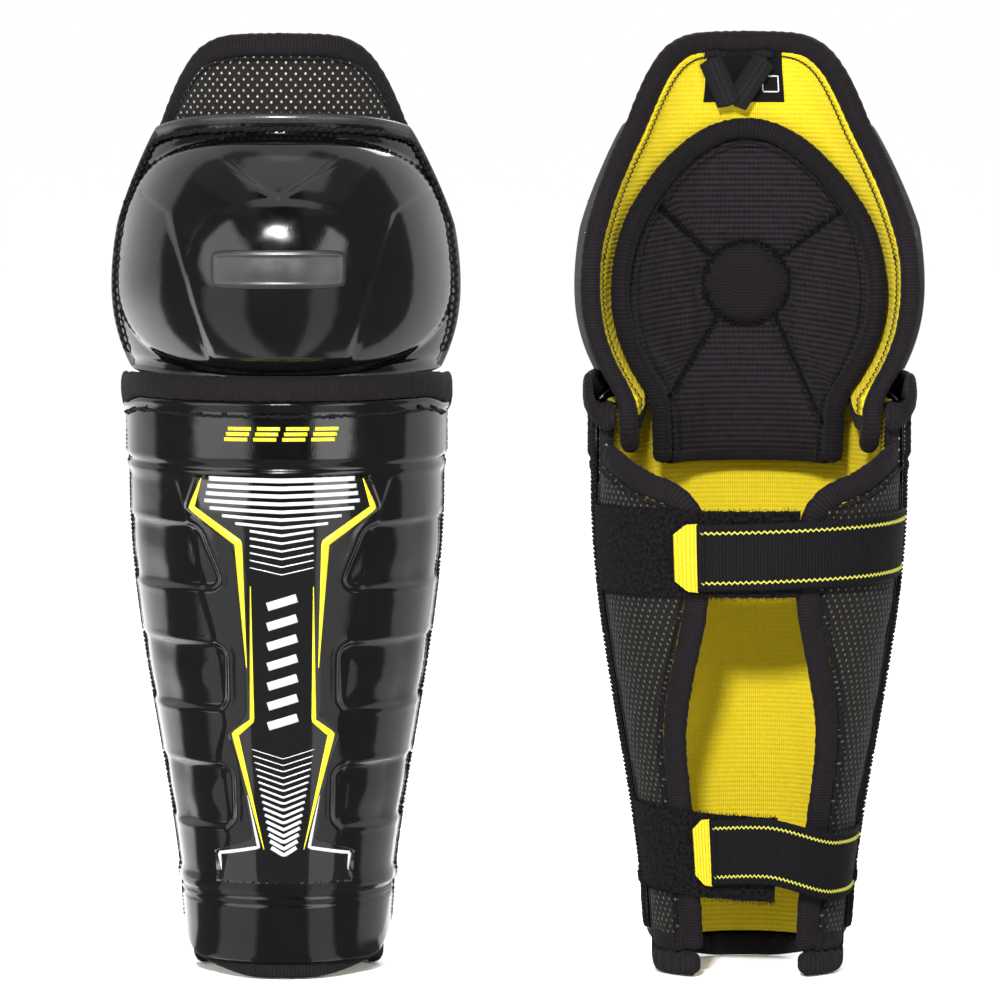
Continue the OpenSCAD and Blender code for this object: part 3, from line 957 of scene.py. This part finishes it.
def pad_tape():
    """Flat knit tape folded over the pad's edge, and the narrower one along its foot."""
    def route(u, t, off, step, reach=0):
        a, z = pad_where((u + 1) / 2, t)
        return trail(knee_curve, a, z, off, step, reach)

    up = np.linspace(0, 0.985, 40)
    over = np.linspace(-0.97, 0.97, 70)
    u = np.concatenate([-np.ones(40), over, np.ones(40)])
    t = np.concatenate([up, np.ones(70), up[::-1]])
    path, outs = route(u, t, PAD_FRONT - PAD_T / 2 - 0.4, 1.4, 6)
    pucker = puckered(path, 1.4, 0.03, 0.2, 4, 0.025, 1.3)
    shape = roll(path[:, :3], outs, 3.9 * pucker, 3.4 * pucker, 1.3, 20, power=0.7)
    foot, outs = route(np.linspace(-0.94, 0.94, 40), np.full(40, 0.012), PAD_FRONT - PAD_T / 2 - 0.2, 1.4)
    roll(foot[:, :3], outs, 2.2, 3.3, 0, 14, power=0.8, shape=shape)
    make("pad_edge_tape", shape, "knee", [KNIT_TAPE], "knee_pad_binding")
    seam = Shape()
    inset, outs = route(u * 0.925, t * 0.955 + 0.01, PAD_FRONT - PAD_T - 0.3, 2.6, 3)
    stitch_row(seam, inset[:, :3], -outs, 2.0, 0.32)
    make("pad_edge_seam", seam, "knee", [THREAD], None)


def label():
    """Woven label that hangs from under the edge roll."""
    foot, back = 330, -LINER_T - 0.35
    width, height = 30, LINER_Z1 - foot

    def where(s, t):
        return mix(-22, 20, s), mix(foot, LINER_Z1, t)

    def low(s, t, a, z):
        curl = 0.4 + 0.25 * wave(a * 0.2, 1)
        return back - curl * rounding(s, t, width, height, 0.4)

    shape = layer(where, knee_at, lambda s, t, a, z: back, low,
                  samples(width, 1.0, 0.4), samples(height, 1.0, 0.4), "low")
    outline = [(9, 334), (17.5, 334), (17.5, 340), (9, 340), (9, 334)]
    a, z = resample(outline, 0.8).T
    points = knee_at(a, z, -LINER_T - 1.05)
    roll(points, -outward(knee_curve, a, z), 0.3, 0.1, sides=6, slot=1, shape=shape)
    make("blank_label", shape, "knee", [LABEL, WHITE_THREAD], "label")


def hang_loop():
    """Flat ribbon folded to a point, sewn in at both of its ends."""
    low, high = box_mm("right_hang_loop")
    tip_x, half_w, top = -5.5, 4.7, high[2]
    y = (low[1] + high[1]) / 2
    shape, ends = Shape(), Shape()
    for x0, lift in ((-14.0, 0.35), (7.5, -0.35)):
        a = math.degrees(math.asin(x0 / knee_w(top)))
        root = knee_at(a, np.linspace(top - 0.6, LINER_Z1 + 0.4, 6), -LINER_T - 1.6 + lift)
        roll(root, outward(knee_curve, [a] * 6, [top] * 6), half_w, 0.4, sides=14, power=0.45, shape=ends)
        route = resample([(x0, top), (tip_x + np.sign(x0 - tip_x) * 0.8, low[2] + half_w)], 1.0)
        share = np.linspace(0, 1, len(route))
        depth = y + lift + 1.6 * share**2 - 0.5 * np.sin(share * 3)
        points = np.stack([route[:, 0], depth, route[:, 1]], -1)
        roll(points, [(0, 1, 0)] * len(points), half_w, 0.4, sides=14, power=0.45, shape=shape)
    make("ribbon_loop", shape, "hang_loop", [RIBBON], "hang_loop")
    make("ribbon_ends", ends, "knee", [RIBBON], None)


# ---- shin unit ----

# Side panels: lower and upper height, and distance of the inner edge from the middle at each
PANELS = ((148.5, 175.5, 21, 29), (102.5, 130.5, 19.2, 19.5), (57, 84, 16.8, 17.2))
# Added to every height of the print and its film
GRAPHICS_LIFT = 4.4


def shin_relief(a, z):
    """Moulded shape of the shin shell over its plain section: spine, panels, creases and bands."""
    x = np.abs(np.sin(np.radians(a))) * (shin_w(z) + 3)
    relief = 0.9 * smooth((z - 197.0) / 2.2 + 0.5) - 0.7 * np.exp(-(((z - 195.5) / 1.3) ** 2))
    relief = relief + 0.5 * smooth((z - 191.5) / 3) * smooth((196.5 - z) / 2)
    for z0, z1, inner0, inner1 in PANELS:
        dx = x - mix(inner0, inner1, smooth((z - z0) / (z1 - z0)))
        dz = np.minimum(z - z0, z1 - z)
        corner = 6.5
        inside = corner - np.hypot(np.clip(corner - dx, 0, None), np.clip(corner - dz, 0, None))
        fade = 1 - 0.75 * smooth((np.abs(a) - 56) / 16)
        pillow = smooth((np.minimum(dx, dz) - 3.5) / 9)
        lip = np.exp(-((inside / 1.3) ** 2))
        relief = relief - fade * (2.3 * smooth(inside / 3.4) - 1.0 * pillow - 0.35 * lip)
    # Between the panels the shell steps down once more outside the spine
    spine = np.interp(z, [32, 54, 87, 98, 133, 145, 179, 192], [25, 19.5, 23, 20.5, 24.5, 28, 35, 39])
    relief = relief - 0.7 * smooth((x - spine) / 2.5) * smooth((z - 36) / 4) * smooth((193 - z) / 4)
    relief = relief - 0.8 * np.exp(-(((z - 32.5) / 0.9) ** 2)) - 0.6 * np.exp(-(((z - 29.6) / 0.8) ** 2))
    relief = relief + 0.45 * smooth((z - 33.5) / 1.2) * smooth((42 - z) / 6)
    for pin_a, pin_z in ((19, 21), (-5, 11.5)):
        ring = np.hypot((a - pin_a) * 0.65, z - pin_z)
        relief = relief - 0.25 * np.exp(-(((ring - 1.5) / 0.35) ** 2))
    return relief


def shin_face(a, z):
    """Offset of the shin shell's outer face."""
    return GAP + SHELL_T + 0.8 - 0.7 * smooth((np.abs(a) - 62) / 20) + shin_relief(a, z)


def shin_foot(a):
    """Height of the shin shell's lower edge, which rises to round corners at both sides."""
    return SHIN_Z0 + 9.5 * smooth((np.abs(a) - 52) / 36) ** 1.4


def shin_top(a):
    """Height of the shin shell's upper edge: 2.4 mm over the CAD's, and 1.2 mm under it at both sides."""
    return SHIN_Z1 + 2.4 - 3.6 * smooth((np.abs(a) - 58) / 24)


def shin_shell():
    width, height, step = 164, SHIN_Z1 - SHIN_Z0, 0.95

    def where(s, t):
        a = mix(-SHIN_WRAP, SHIN_WRAP, s)
        return a, mix(shin_foot(a), shin_top(a), t)

    def high(s, t, a, z):
        body = (shin_face(a, z) - GAP) * rounding(s, t, width, height, 1.6)
        side_bead = 0.4 * rim_bead(edge_gap(s, 0.5, width, 99), 1, 3)
        return GAP + body + rim_bead(shin_top(a) - z, 0.9, 3.6) + side_bead

    s, t = samples(width, step), samples(height, step)
    shape = layer(where, shin_at, high, at_gap, s, t, coarse=(6, 6))
    make("moulded_shin_shell", shape, "shin", [SHELL], "shin_shell")


def on_shell(x, z, lift):
    """Point on the shin shell's front, x millimetres from its middle, and the angle there."""
    z = np.asarray(z, float) + GRAPHICS_LIFT
    a = np.degrees(np.arcsin(np.clip(np.asarray(x, float) / (shin_w(z) + 4), -1, 1)))
    return shin_at(a, z, shin_face(a, z) + lift), a


def ink(shape, route, widths, lift=0.22, slot=0):
    """Printed line of changing width along a route of (x, z) on the shell."""
    route = np.asarray(route, float)
    dense = resample(np.column_stack([route, np.broadcast_to(widths, len(route))]), 1.2)
    side = leftward(dense[:, :2]) * np.maximum(dense[:, 2:], 0.12) / 2
    rows = [on_shell(*(dense[:, :2] + side * k).T, lift)[0] for k in (-1, 0, 1)]
    rows += [on_shell(*(dense[:, :2] + side * k).T, lift - 0.2)[0] for k in (1, -1)]
    points = np.stack(rows, 1)
    count, sides = points.shape[:2]
    uv = np.stack(np.broadcast_arrays(np.arange(sides), dense[:, :1] * 1.0), -1)
    return shape.add(points, uv, tube_faces(count, sides), slot)


def both_ways(shape, route, widths):
    for flip in (1, -1):
        ink(shape, [(x * flip, z) for x, z in route], widths)


def shin_graphics():
    """Black film with generic stripes, chevrons, bars and outlines, in white and yellow ink."""
    film_z0, film_z1 = 33, 188.5

    def where(s, t):
        z = mix(film_z0, film_z1, t)
        half = np.interp(z, [film_z0, 45, 50, 80, 90, 98, 148, 163, 176, film_z1],
                         [26, 27, 12, 17.5, 21, 14, 15, 19.5, 37.5, 33])
        z = z + GRAPHICS_LIFT
        return np.degrees(np.arcsin((2 * s - 1) * half / (shin_w(z) + 4))), z

    film = layer(where, shin_at, lambda s, t, a, z: shin_face(a, z) + 0.12,
                 lambda s, t, a, z: shin_face(a, z) - 0.15,
                 np.linspace(0, 1, 60), np.linspace(0, 1, 160), coarse=(4, 4))
    make("graphic_film", film, "shin", [FILM], "shin_decal")

    white = Shape()
    stripes = 13
    for k in range(stripes):
        share = k / (stripes - 1)
        half = np.interp(k, [0, 3, 4, 5, 6, 7, stripes], [27.4, 29.2, 27.2, 22.5, 17.5, 12, 12])
        z, drop = 187 - 2.85 * k, 0.5 + 2.2 * share
        ink(white, [(-half, z + drop / 2), (0, z - drop / 2), (half, z + drop / 2)], mix(1.75, 0.35, share))
    chevrons = 16
    for k in range(chevrons):
        share = k / (chevrons - 1)
        half, z, drop = mix(11.8, 4.8, share), mix(83, 45.5, share), mix(1.8, 1.5, share)
        ink(white, [(-half, z + drop), (0, z - drop), (half, z + drop)], mix(0.3, 1.5, share))
    both_ways(white, [(13.7, 67), (9.6, 47), (25.2, 44), (24.2, 37.5)], [0.2, 1.3, 1.3, 0.4])
    # Plain parallel bars stand where the real one has lettering
    for k in range(7):
        z = 141 - 7.6 * k
        ink(white, [(-5.6, z - 1.7), (5.6, z + 1.7)], 3.2)
    make("white_graphics", white, "shin", [WHITE_INK], None)

    yellow = Shape()
    both_ways(yellow, [(30.4, 187.2), (34.2, 176), (16.4, 163.4), (13.6, 116)], [0.3, 2.3, 3.0, 0.3])
    both_ways(yellow, [(11.9, 147), (11.7, 95.8), (18.2, 90.4), (7.6, 46.2)], [0.3, 1.7, 2.6, 0.3])
    for x in np.linspace(-16.2, 16.2, 4):
        for rise in (-2, 0, 2):
            middle, z = x + rise * 0.35, 204.2 + rise
            ink(yellow, [(middle - 4.3, z), (middle + 4.3, z)], 1.35)
    make("yellow_graphics", yellow, "shin", [YELLOW_INK], None)


def shin_stitching():
    """Lock stitches with knots under the top edge, and whipped thread down both side edges."""
    def row_height(a):
        return shin_top(a) - 6.4 + 1.8 * (a / 80) ** 2 + 0.35 * wave(a * 0.5, 4)

    shape = Shape()
    a = np.linspace(-80, 80, 170)
    z = row_height(a)
    lift = shin_face(a, z) + 0.35 + 0.25 * np.abs(np.sin(a * 0.35))
    thread(shape, shin_at(a, z, lift), outward(shin_curve, a, z), 0.5)
    for knot in np.arange(-78, 79, 9.6):
        height = float(row_height(np.float64(knot)))
        face = float(shin_face(knot, height))
        for slant in (-1, 1):
            heights = [height - slant * 1.1, height + 0.2, height + slant * 1.1]
            ends = shin_at([knot - 1.3, knot, knot + 1.3], heights, [face - 0.2, face + 1.0, face - 0.2])
            thread(shape, ends, outward(shin_curve, [knot] * 3, [height] * 3), 0.75)
    for side in (-1, 1):
        z = np.linspace(17, SHIN_Z1 - 3, 150)
        lift = shin_face(side * 85.0, z) - 0.3 + 0.12 * np.sin(z * 1.9)
        cord = shin_at(side * 87.0, z, lift)
        thread(shape, cord, outward(shin_curve, np.full(len(z), side * 87.0), z), 0.85)
        for z in np.arange(19, 205, 1.6):
            steps = np.array([0, 0.3, 0.65, 1])
            arc_a = side * (85.2 + 3.6 * steps + rng.uniform(-0.2, 0.2))
            arc_z = z + rng.uniform(2.8, 3.6) * steps
            face = float(shin_face(85.0 * side, z))
            off = np.array([face - 0.4, face - 0.05, 2.7, 0.8])
            thread(shape, shin_at(arc_a, arc_z, off), outward(shin_curve, arc_a, arc_z), 0.72)
    make("shin_thread", shape, "shin", [THREAD], "shin_stitching")


def shin_lining():
    z0, z1, width, height = HEM_H + 0.4, 218.4, 180, 209
    rows = np.arange(z0, z1, RIB_PITCH / 4)
    t = (rows - z0) / (z1 - z0)
    t[-1] = 1

    def inner(s, t, a, z):
        rib = np.abs(np.sin(math.pi * (z - z0) / RIB_PITCH))
        soft = 0.3 * wave(a * 0.05 + z * 0.02, 2)
        return -3 - (2.5 + 0.5 * rib + soft) * rounding(s, t, width, height, 1.5)

    s = samples(width, 3.0, 1.5)
    shape = layer(lambda s, t: (mix(-90, 90, s), mix(z0, z1, t)), shin_at,
                  lambda s, t, a, z: -3 + 3 * rounding(s, t, width, height, 1.5), inner,
                  s, t, "low", (2, 12), (0, 1))
    dye(shape, s, t, lambda s, t: np.minimum(s, 1 - s) * width < 2.6, 2)
    make("shin_lining", shape, "shin", [LINING, FLAP_MESH, KNIT], "shin_liner")


def shin_band():
    """Padded knit roll over the shell's top edge. Its two ends turn in behind the liner's rear corners."""
    a = np.linspace(-104, 104, 138)
    z = shin_top(a) + 4.0 + 0.9 * smooth((np.abs(a) - 56) / 26) - 10 * smooth((np.abs(a) - 89) / 10)
    path, outs = trail(shin_curve, a, z, 4.4 - 8.6 * smooth((np.abs(a) - 93) / 12), 1.5, 4)
    pucker = puckered(path, 1.5, 0.04, 0.12, 6, 0.02, 1.1)
    half_w = (4.7 + 0.9 * smooth((np.abs(path[:, 3]) - 56) / 26)) * pucker
    shape = roll(path[:, :3], outs, half_w, 1.95 * pucker, 0, 22, power=0.8)
    make("shin_top_roll", shape, "shin", [KNIT], "shin_band")


def knee_gusset():
    """Cloth between the two units: black outside, yellow inside."""
    width, height, middle = 110, 29, -6.55

    def where(s, t):
        return mix(-62, 62, s), mix(209, 238, t)

    shape = layer(where, bridge_at, lambda s, t, a, z: middle + 0.3 * rounding(s, t, width, height, 0.4),
                  lambda s, t, a, z: middle - 0.3 * rounding(s, t, width, height, 0.4),
                  samples(width, 2.5, 0.4), samples(height, 1.2, 0.4), slots=(0, 1))
    body = ("shin", "knee", (0, -40, 212), (0, -40, 236))
    make("gusset_cloth", shape, body, [KNIT, LINING], "knee_gusset")


def calf_wing(side, name):
    """Foam flap beside the calf. side is 1 for the inner wing and -1 for the outer one."""
    width, height = 52, 183

    def where(s, t):
        z = mix(HEM_H + 0.4, wing_top(mix(92, 150, s)), t)
        return side * mix(WING_A0, wing_edge(z) - 10, s), z

    def high(s, t, a, z):
        return -2.5 + (2.5 + 0.3 * wave(z * 0.05 + a * 0.04, 2)) * rounding(s, t, width, height, 2.4)

    def low(s, t, a, z):
        return -2.5 - 2.5 * rounding(s, t, width, height, 2.4)

    shape = layer(where, shin_at, high, low, samples(width, 2.2, 2.4), samples(height, 2.6, 2.4),
                  coarse=(2, 2), slots=(0, 1), uv_shift=0.9 * side)
    wing = f"{name}_wing"
    make(f"{name}_calf_wing", shape, wing, [WING_MESH, LINING], wing)


def wing_binding(side, name):
    """Knit roll along the wing's free edge and top, and a straight tape across its foot."""
    foot = 18.9
    route = [(float(wing_edge(z)) - 10, z) for z in np.arange(9.9, 174, 5)]
    route += [(a, float(wing_top(a))) for a in np.arange(149, 95, -3)]
    a, z = np.array(route).T
    path, outs = trail(shin_curve, side * a, z, -WING_T / 2, 1.6, 7)
    pucker = puckered(path, 1.6, 0.04, 0.15, 3 + side, 0.015, 1.2)
    shape = roll(path[:, :3], outs, 4.6 * pucker, 2.9 * pucker, -5.0 * side, 20, power=0.8)
    a = side * np.arange(95, float(wing_edge(foot)) - 1, 2.0)
    tape = shin_at(a, foot, -WING_T / 2)
    roll(tape, outward(shin_curve, a, foot), 4.6, 2.7, -5.0 * side, 20, power=0.8, shape=shape)
    make(f"{name}_wing_edge", shape, f"{name}_wing", [KNIT], f"{name}_wing_binding")
    seam = Shape()
    a, z = np.array(route[:-1]).T
    line, outs = trail(shin_curve, side * (a - 0.8), z, 0.5, 3.0)
    stitch_row(seam, line[2:, :3], outs[2:], 2.2, 0.3)
    make(f"{name}_wing_seam", seam, f"{name}_wing", [THREAD], None)


def wing_hinge(side, name):
    """Cloth over the sewn edge that the wing folds along, outside and inside."""
    def where(s, t):
        return side * mix(85.5, 97, s), mix(HEM_H + 1, 187, t)

    def inner_off(a):
        return -6.5 + 1.0 * smooth((np.abs(a) - 89) / 4)

    fold = [tuple(shin_at(side * a, 100, -3)) for a in (90, 94.5)]
    width, height = 11, 178
    s, t = samples(width, 1.2, 0.4), samples(height, 5, 0.4)
    for place, cover, front, middle, out, back in (
            ("outer", KNIT, "high", lambda a: 0.14, 0.28, 0.14),
            ("inner", LINING, "low", inner_off, 0.15, 0.15)):
        shape = layer(where, shin_at,
                      lambda s, t, a, z: middle(a) + out * rounding(s, t, width, height, 0.4),
                      lambda s, t, a, z: middle(a) - back * rounding(s, t, width, height, 0.4),
                      s, t, front)
        make(f"{name}_fold_{place}", shape, ("shin", f"{name}_wing", *fold), [cover], None)


def bottom_hem():
    """Gathered knit edge that the guard stands on."""
    width, height = 230, 9.5
    a1 = float(wing_edge(0))

    def where(s, t):
        a = mix(-a1, a1, s)
        m = np.abs(a)
        gather = 0.6 * np.sin(a * 0.55) * smooth(m / 30) + 0.4 * wave(a * 0.3, 2)
        side = 1 - smooth((m - 84) / 12)
        foot = 4.0 * smooth((m - 14) / 50) * side
        top = HEM_H + 0.6 - side + gather + 7.5 * smooth((m - 46) / 30) * side
        return a, mix(foot, top, t)

    def high(s, t, a, z):
        fold = 0.35 * np.sin(a * 0.55 + 1) * np.sin(math.pi * t)
        return -3.3 + (3.5 + fold) * rounding(s, t, width, height, 3)

    def low(s, t, a, z):
        fold = 0.6 * np.sin(a * 0.55) * np.sin(math.pi * t)
        return -3.3 - (3.4 + fold) * rounding(s, t, width, height, 3)

    shape = layer(where, shin_at, high, low, samples(width, 1.1, 3), samples(height, 0.8, 3), "low")
    for side in (-1, 1):
        end_a = side * (a1 - 3.5)
        ends = shin_at(end_a, np.linspace(0.3, HEM_H + 0.7, 14), -2.5)
        outs = outward(shin_curve, [end_a] * 14, [5] * 14)
        roll(ends, outs, 4.7, 3.4, 0, 20, power=0.7, shape=shape)
    make("gathered_hem", shape, "shin", [HEM_KNIT], "bottom_hem")


# Angle that each loop tab's free end reaches, and how steeply the tab climbs, in mm per degree
TAB_END = {"upper": 162, "lower": 166}
TAB_SLANT = {"upper": 0.0, "lower": 0.045}


def loop_tab(level):
    """Brushed tab with fuzz standing out of its edges."""
    z0, end_a, slant = STRAP_Z[level], TAB_END[level], TAB_SLANT[level]
    root_end, width = 267, 84

    def where(s, t):
        a = mix(end_a, root_end, s)
        ragged = 0.35 * wave(a * 3.1, 1)
        return a, z0 + (LOOP_TAB_W / 2 - 0.6 + ragged) * (2 * t - 1) + slant * (a - 215)

    def high(s, t, a, z):
        fuzz = 0.22 * wave(a * 7.1 + z * 3.3, 1) + 0.22 * wave(z * 8.7 - a * 2.9, 4)
        return GAP + (1.35 + fuzz) * rounding(s, t, width, LOOP_TAB_W, 1.2)

    s, t = samples(width, 0.9, 1.2), samples(LOOP_TAB_W, 0.9, 1.2)
    shape = layer(where, shin_at, high, at_gap, s, t, coarse=(6, 4))
    for t, sign in ((0.004, -1), (0.996, 1)):
        for a in np.arange(end_a + 1, root_end - 1, 0.55):
            root_z = where((a - end_a) / (root_end - end_a), t)[1]
            out = rng.uniform(0.6, 1.7)
            tip = shin_at(a + rng.uniform(-1, 1), root_z + sign * out, GAP + rng.uniform(0.3, 1.6))
            root = shin_at(a, root_z - sign * 0.4, GAP + 0.8)
            hair = [root, (root + tip) / 2 + (0, 0, sign * 0.2), tip]
            thread(shape, hair, outward(shin_curve, [a] * 3, [root_z] * 3), 0.13, sides=3)
    make(f"{level}_fuzzy_tab", shape, "shin", [PILE], f"{level}_loop_tab")


# ---- straps ----

STRAP_A0, STRAP_A1, TAB_A1 = 95, 201, 210


def strap_drift(level, a):
    """How the webbing wanders up or down along its length, and how far it bows out."""
    share = (a - STRAP_A0) / (STRAP_A1 - STRAP_A0)
    arch = np.sin(math.pi * np.clip(share, 0, 1))
    if level == "upper":
        return mix(2.2, -1.2, share), 0.5 * arch
    drift = mix(-5.0, 2.0, smooth((share - 0.36) / 0.40)) - 1.2 * smooth((share - 0.8) / 0.3)
    return drift + 0.8 * smooth((0.3 - share) / 0.3), 2.2 * arch ** 2


def on_strap(level, a, across, lift):
    drift, bow = strap_drift(level, a)
    return shin_at(a, STRAP_Z[level] + across + drift, strap_off(a) + bow + lift)


def strip(a0, a1, length, steps, rim, thin, faces):
    """Strip of webbing between two angles. faces(a, S, T, rounding) gives its outer and inner points and
    how far across the strip each is."""
    s, t = samples(length, steps[0], rim), samples(STRAP_W, steps[1], rim)
    grid_s, grid_t = np.meshgrid(s, t)
    a = mix(a0, a1, grid_s)
    outer, inner, across = faces(a, grid_s, grid_t, rounding(grid_s, grid_t, length, STRAP_W, rim))
    uv = np.stack([np.radians(a) * 50, across], -1)
    return closed(outer, inner, uv, thinned(len(s), thin), thinned(len(t), thin))


def strap(level):
    """Ribbed webbing, the zigzags along both of its edges and the bar stitches at its free end."""
    half = STRAP_W / 2

    def faces(a, s, t, share):
        across = half * (2 * t - 1)
        selvedge = 0.25 * np.exp(-(((np.abs(across) - half + 1.0) / 0.7) ** 2))
        top = on_strap(level, a, across, 0.75 + (0.75 + selvedge) * share)
        return top, on_strap(level, a, across, 0.75 - 0.75 * share), across

    shape = strip(STRAP_A0, STRAP_A1, 115, (1.5, 1.4), 0.7, 2, faces)
    body = f"{level}_strap"
    make(f"{level}_webbing", shape, body, [WEBBING], body)

    zigzag = Shape()
    a = np.arange(STRAP_A0 + 0.5, STRAP_A1 - 0.5, 1.05)
    sway = np.where(np.arange(len(a)) % 2, 0.45, -0.45)
    for edge in (-1, 1):
        points = on_strap(level, a, edge * (half - 3.3) + sway, 1.72)
        thread(zigzag, points, outward(shin_curve, a, STRAP_Z[level]), 0.38)
    make(f"{level}_zigzag", zigzag, body, [YELLOW_THREAD], None)

    across = np.arange(-half + 1.5, half - 1, 2.2)
    a = np.full(len(across), 198.0)
    outs = outward(shin_curve, a, STRAP_Z[level])
    bar = stitch_row(Shape(), on_strap(level, a, across, 1.55), outs, 1.8, 0.28)
    make(f"{level}_bar_stitch", bar, body, [THREAD], None)


def strap_root(level):
    """The end of the webbing that tucks in under the shell."""
    def faces(a, s, t, share):
        climb = smooth((a - 88.5) / 6)
        thick = mix(0.22, 0.7, climb) * share
        across = (STRAP_W / 2 - 0.2) * (2 * t - 1)
        drift, bow = strap_drift(level, np.maximum(a, STRAP_A0))
        middle = mix(0.3, GAP + 0.75, climb) + bow
        z = STRAP_Z[level] + across + drift
        return shin_at(a, z, middle + thick), shin_at(a, z, middle - thick), across

    shape = strip(85.5, 97.5, 13, (1.1, 2.2), 0.4, 1, faces)
    fold = [tuple(shin_at(a, STRAP_Z[level], 1)) for a in (94, 98)]
    make(f"{level}_webbing_root", shape, ("shin", f"{level}_strap", *fold), [WEBBING], None)


def pull_tab(level):
    """Woven end of the strap, narrower towards its tip."""
    def faces(a, s, t, share):
        half = STRAP_W / 2 + 0.3 - 0.6 * s - 3.6 * np.clip((s - 0.45) / 0.55, 0, 1)
        across = half * (2 * t - 1)
        z, off = STRAP_Z[level] + across + strap_drift(level, STRAP_A1)[0], strap_off(a)
        half_t = 0.65
        top = shin_at(a, z, off + half_t + half_t * share)
        return top, shin_at(a, z, off + half_t - half_t * share), across

    shape = strip(STRAP_A1 - 0.4, TAB_A1, 9.5, (0.9, 1.2), 0.6, 2, faces)
    make(f"{level}_yellow_tab", shape, f"{level}_strap", [PULL_TAB], f"{level}_pull_tab")


# ---- pieces that stay as the frame has them, hidden inside ----

def frame_materials():
    for side in SIDES:
        for piece, finish in (("knee_foam", FOAM), ("upper_hook", HOOKS), ("lower_hook", HOOKS)):
            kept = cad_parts[f"{side}_{piece}"]
            kept.data.materials.clear()
            kept.data.materials.append(finish)


# ---- floor, light and camera ----

def stage():
    """White floor under a white world."""
    bpy.ops.mesh.primitive_plane_add(size=40, location=(0, 0, -0.0004))
    floor = bpy.context.object
    floor.name = "floor"
    paint = material("pale_floor", Base_Color=grey(0.999), Roughness=0.7, Specular_IOR_Level=0.1)
    floor.data.materials.append(paint)

    world = bpy.data.worlds.new("studio")
    bpy.context.scene.world = world
    world.use_nodes = True
    background = world.node_tree.nodes["Background"]
    background.inputs["Color"].default_value = grey(1)
    background.inputs["Strength"].default_value = 1.0


def softbox(name, azimuth, elevation, distance, width, height, power, aim=(0, 0, 0.18)):
    """Area light at an azimuth from the camera's side, aimed at the object."""
    lamp = bpy.data.lights.new(name, "AREA")
    lamp.shape = "RECTANGLE"
    lamp.size, lamp.size_y = width, height
    lamp.energy = power
    obj = linked(lamp)
    az, el = math.radians(azimuth), math.radians(elevation)
    aim = Vector(aim)
    way = Vector((math.sin(az) * math.cos(el), -math.cos(az) * math.cos(el), math.sin(el)))
    obj.location = aim + distance * way
    obj.rotation_euler = (aim - obj.location).to_track_quat("-Z", "Z").to_euler()


def card(name, corners, faces, glow):
    """Studio wall, black or glowing. It shows only in reflections, and throws no shadow."""
    mesh = bpy.data.meshes.new(name)
    mesh.from_pydata(corners, [], faces)
    paint = material(name, Base_Color=grey(0.01), Roughness=1.0, Specular_IOR_Level=0.0,
                     Emission_Color=grey(1), Emission_Strength=glow)
    mesh.materials.append(paint)
    wall = linked(mesh)
    wall.visible_camera = wall.visible_shadow = wall.visible_diffuse = False


def around(reaches, turns):
    """Corners and faces of a surface swept round the right guard. reaches are (distance, height) pairs."""
    middle, count = CENTRE_X["right"] * MM, len(reaches)
    corners = []
    for f in np.radians(turns):
        corners += [(middle + r * math.sin(f), -r * math.cos(f), z) for r, z in reaches]
    faces = [(k, k + 1, k + count + 1, k + count) for k in range(len(corners) - count) if (k + 1) % count]
    return corners, faces


def dark_room():
    """What the shells reflect: a dark wall, floor and rim of a ceiling, open behind the object and right
    above it, two glowing strips on the floor, and cards."""
    turns = np.linspace(-104, 104, 33)
    card("dark_room", *around([(0.01, -0.0003), (2.6, -0.0003), (2.6, 2.4)], turns), 0.18)
    card("dim_ceiling", *around([(2.6, 2.4), (0.4, 2.4)], turns), 0.3)
    for first, last in ((-66, -26), (20, 44)):
        strip = around([(0.01, -0.0002), (1.5, -0.0002)], np.linspace(first, last, 9))
        card(f"floor_glow_{last}", *strip, 1.0)
    # A black card round the camera, and two that keep each guard out of the other's reflections
    square = [(0, 1, 2, 3)]
    front = [(-0.6, -1.35, 0), (0.36, -1.35, 0), (0.36, -1.35, 2.1), (-0.6, -1.35, 2.1)]
    card("black_card", front, square, 0.0)
    for name, y0, y1, glow in (("parting_card", -0.03, 0.12, 1.0),
                               ("dark_parting_card", -0.085, -0.03, 0.18)):
        card(name, [(0, y0, 0), (0, y1, 0), (0, y1, 0.36), (0, y0, 0.36)], square, glow)


def camera():
    view = bpy.data.cameras.new("camera")
    distance, frame_width, aim = 2.3, 0.381, Vector((-0.0066, 0, 0.1795))
    above = math.radians(5)
    view.sensor_width = 36
    view.lens = 36 * distance / frame_width
    obj = linked(view)
    obj.location = aim + distance * Vector((0, -math.cos(above), math.sin(above)))
    obj.rotation_euler = (math.radians(90) - above, 0, 0)
    bpy.context.scene.camera = obj
    bpy.context.scene.view_settings.view_transform = "Standard"


camera()
stage()
softbox("left_softbox", -46, 6, 1.6, 1.1, 1.3, 11)
softbox("right_softbox", 34, 6, 1.6, 0.65, 1.3, 9)
softbox("top_softbox", 0, 70, 1.7, 1.4, 0.9, 4)
softbox("front_lamp", -6, 24, 1.75, 0.16, 0.16, 60)
softbox("rear_softbox", 165, 40, 1.8, 1.2, 0.8, 22)
dark_room()

knee_shell()
knee_badge()
knee_stitching()
knee_lining()
knee_binding()
knee_pad()
label()
hang_loop()
knee_gusset()
shin_shell()
shin_graphics()
shin_stitching()
shin_lining()
shin_band()
bottom_hem()
for wing_side, wing_name in ((1, "inner"), (-1, "outer")):
    calf_wing(wing_side, wing_name)
    wing_binding(wing_side, wing_name)
    wing_hinge(wing_side, wing_name)
for level_name in LEVELS:
    loop_tab(level_name)
    strap(level_name)
    strap_root(level_name)
    pull_tab(level_name)
frame_materials()
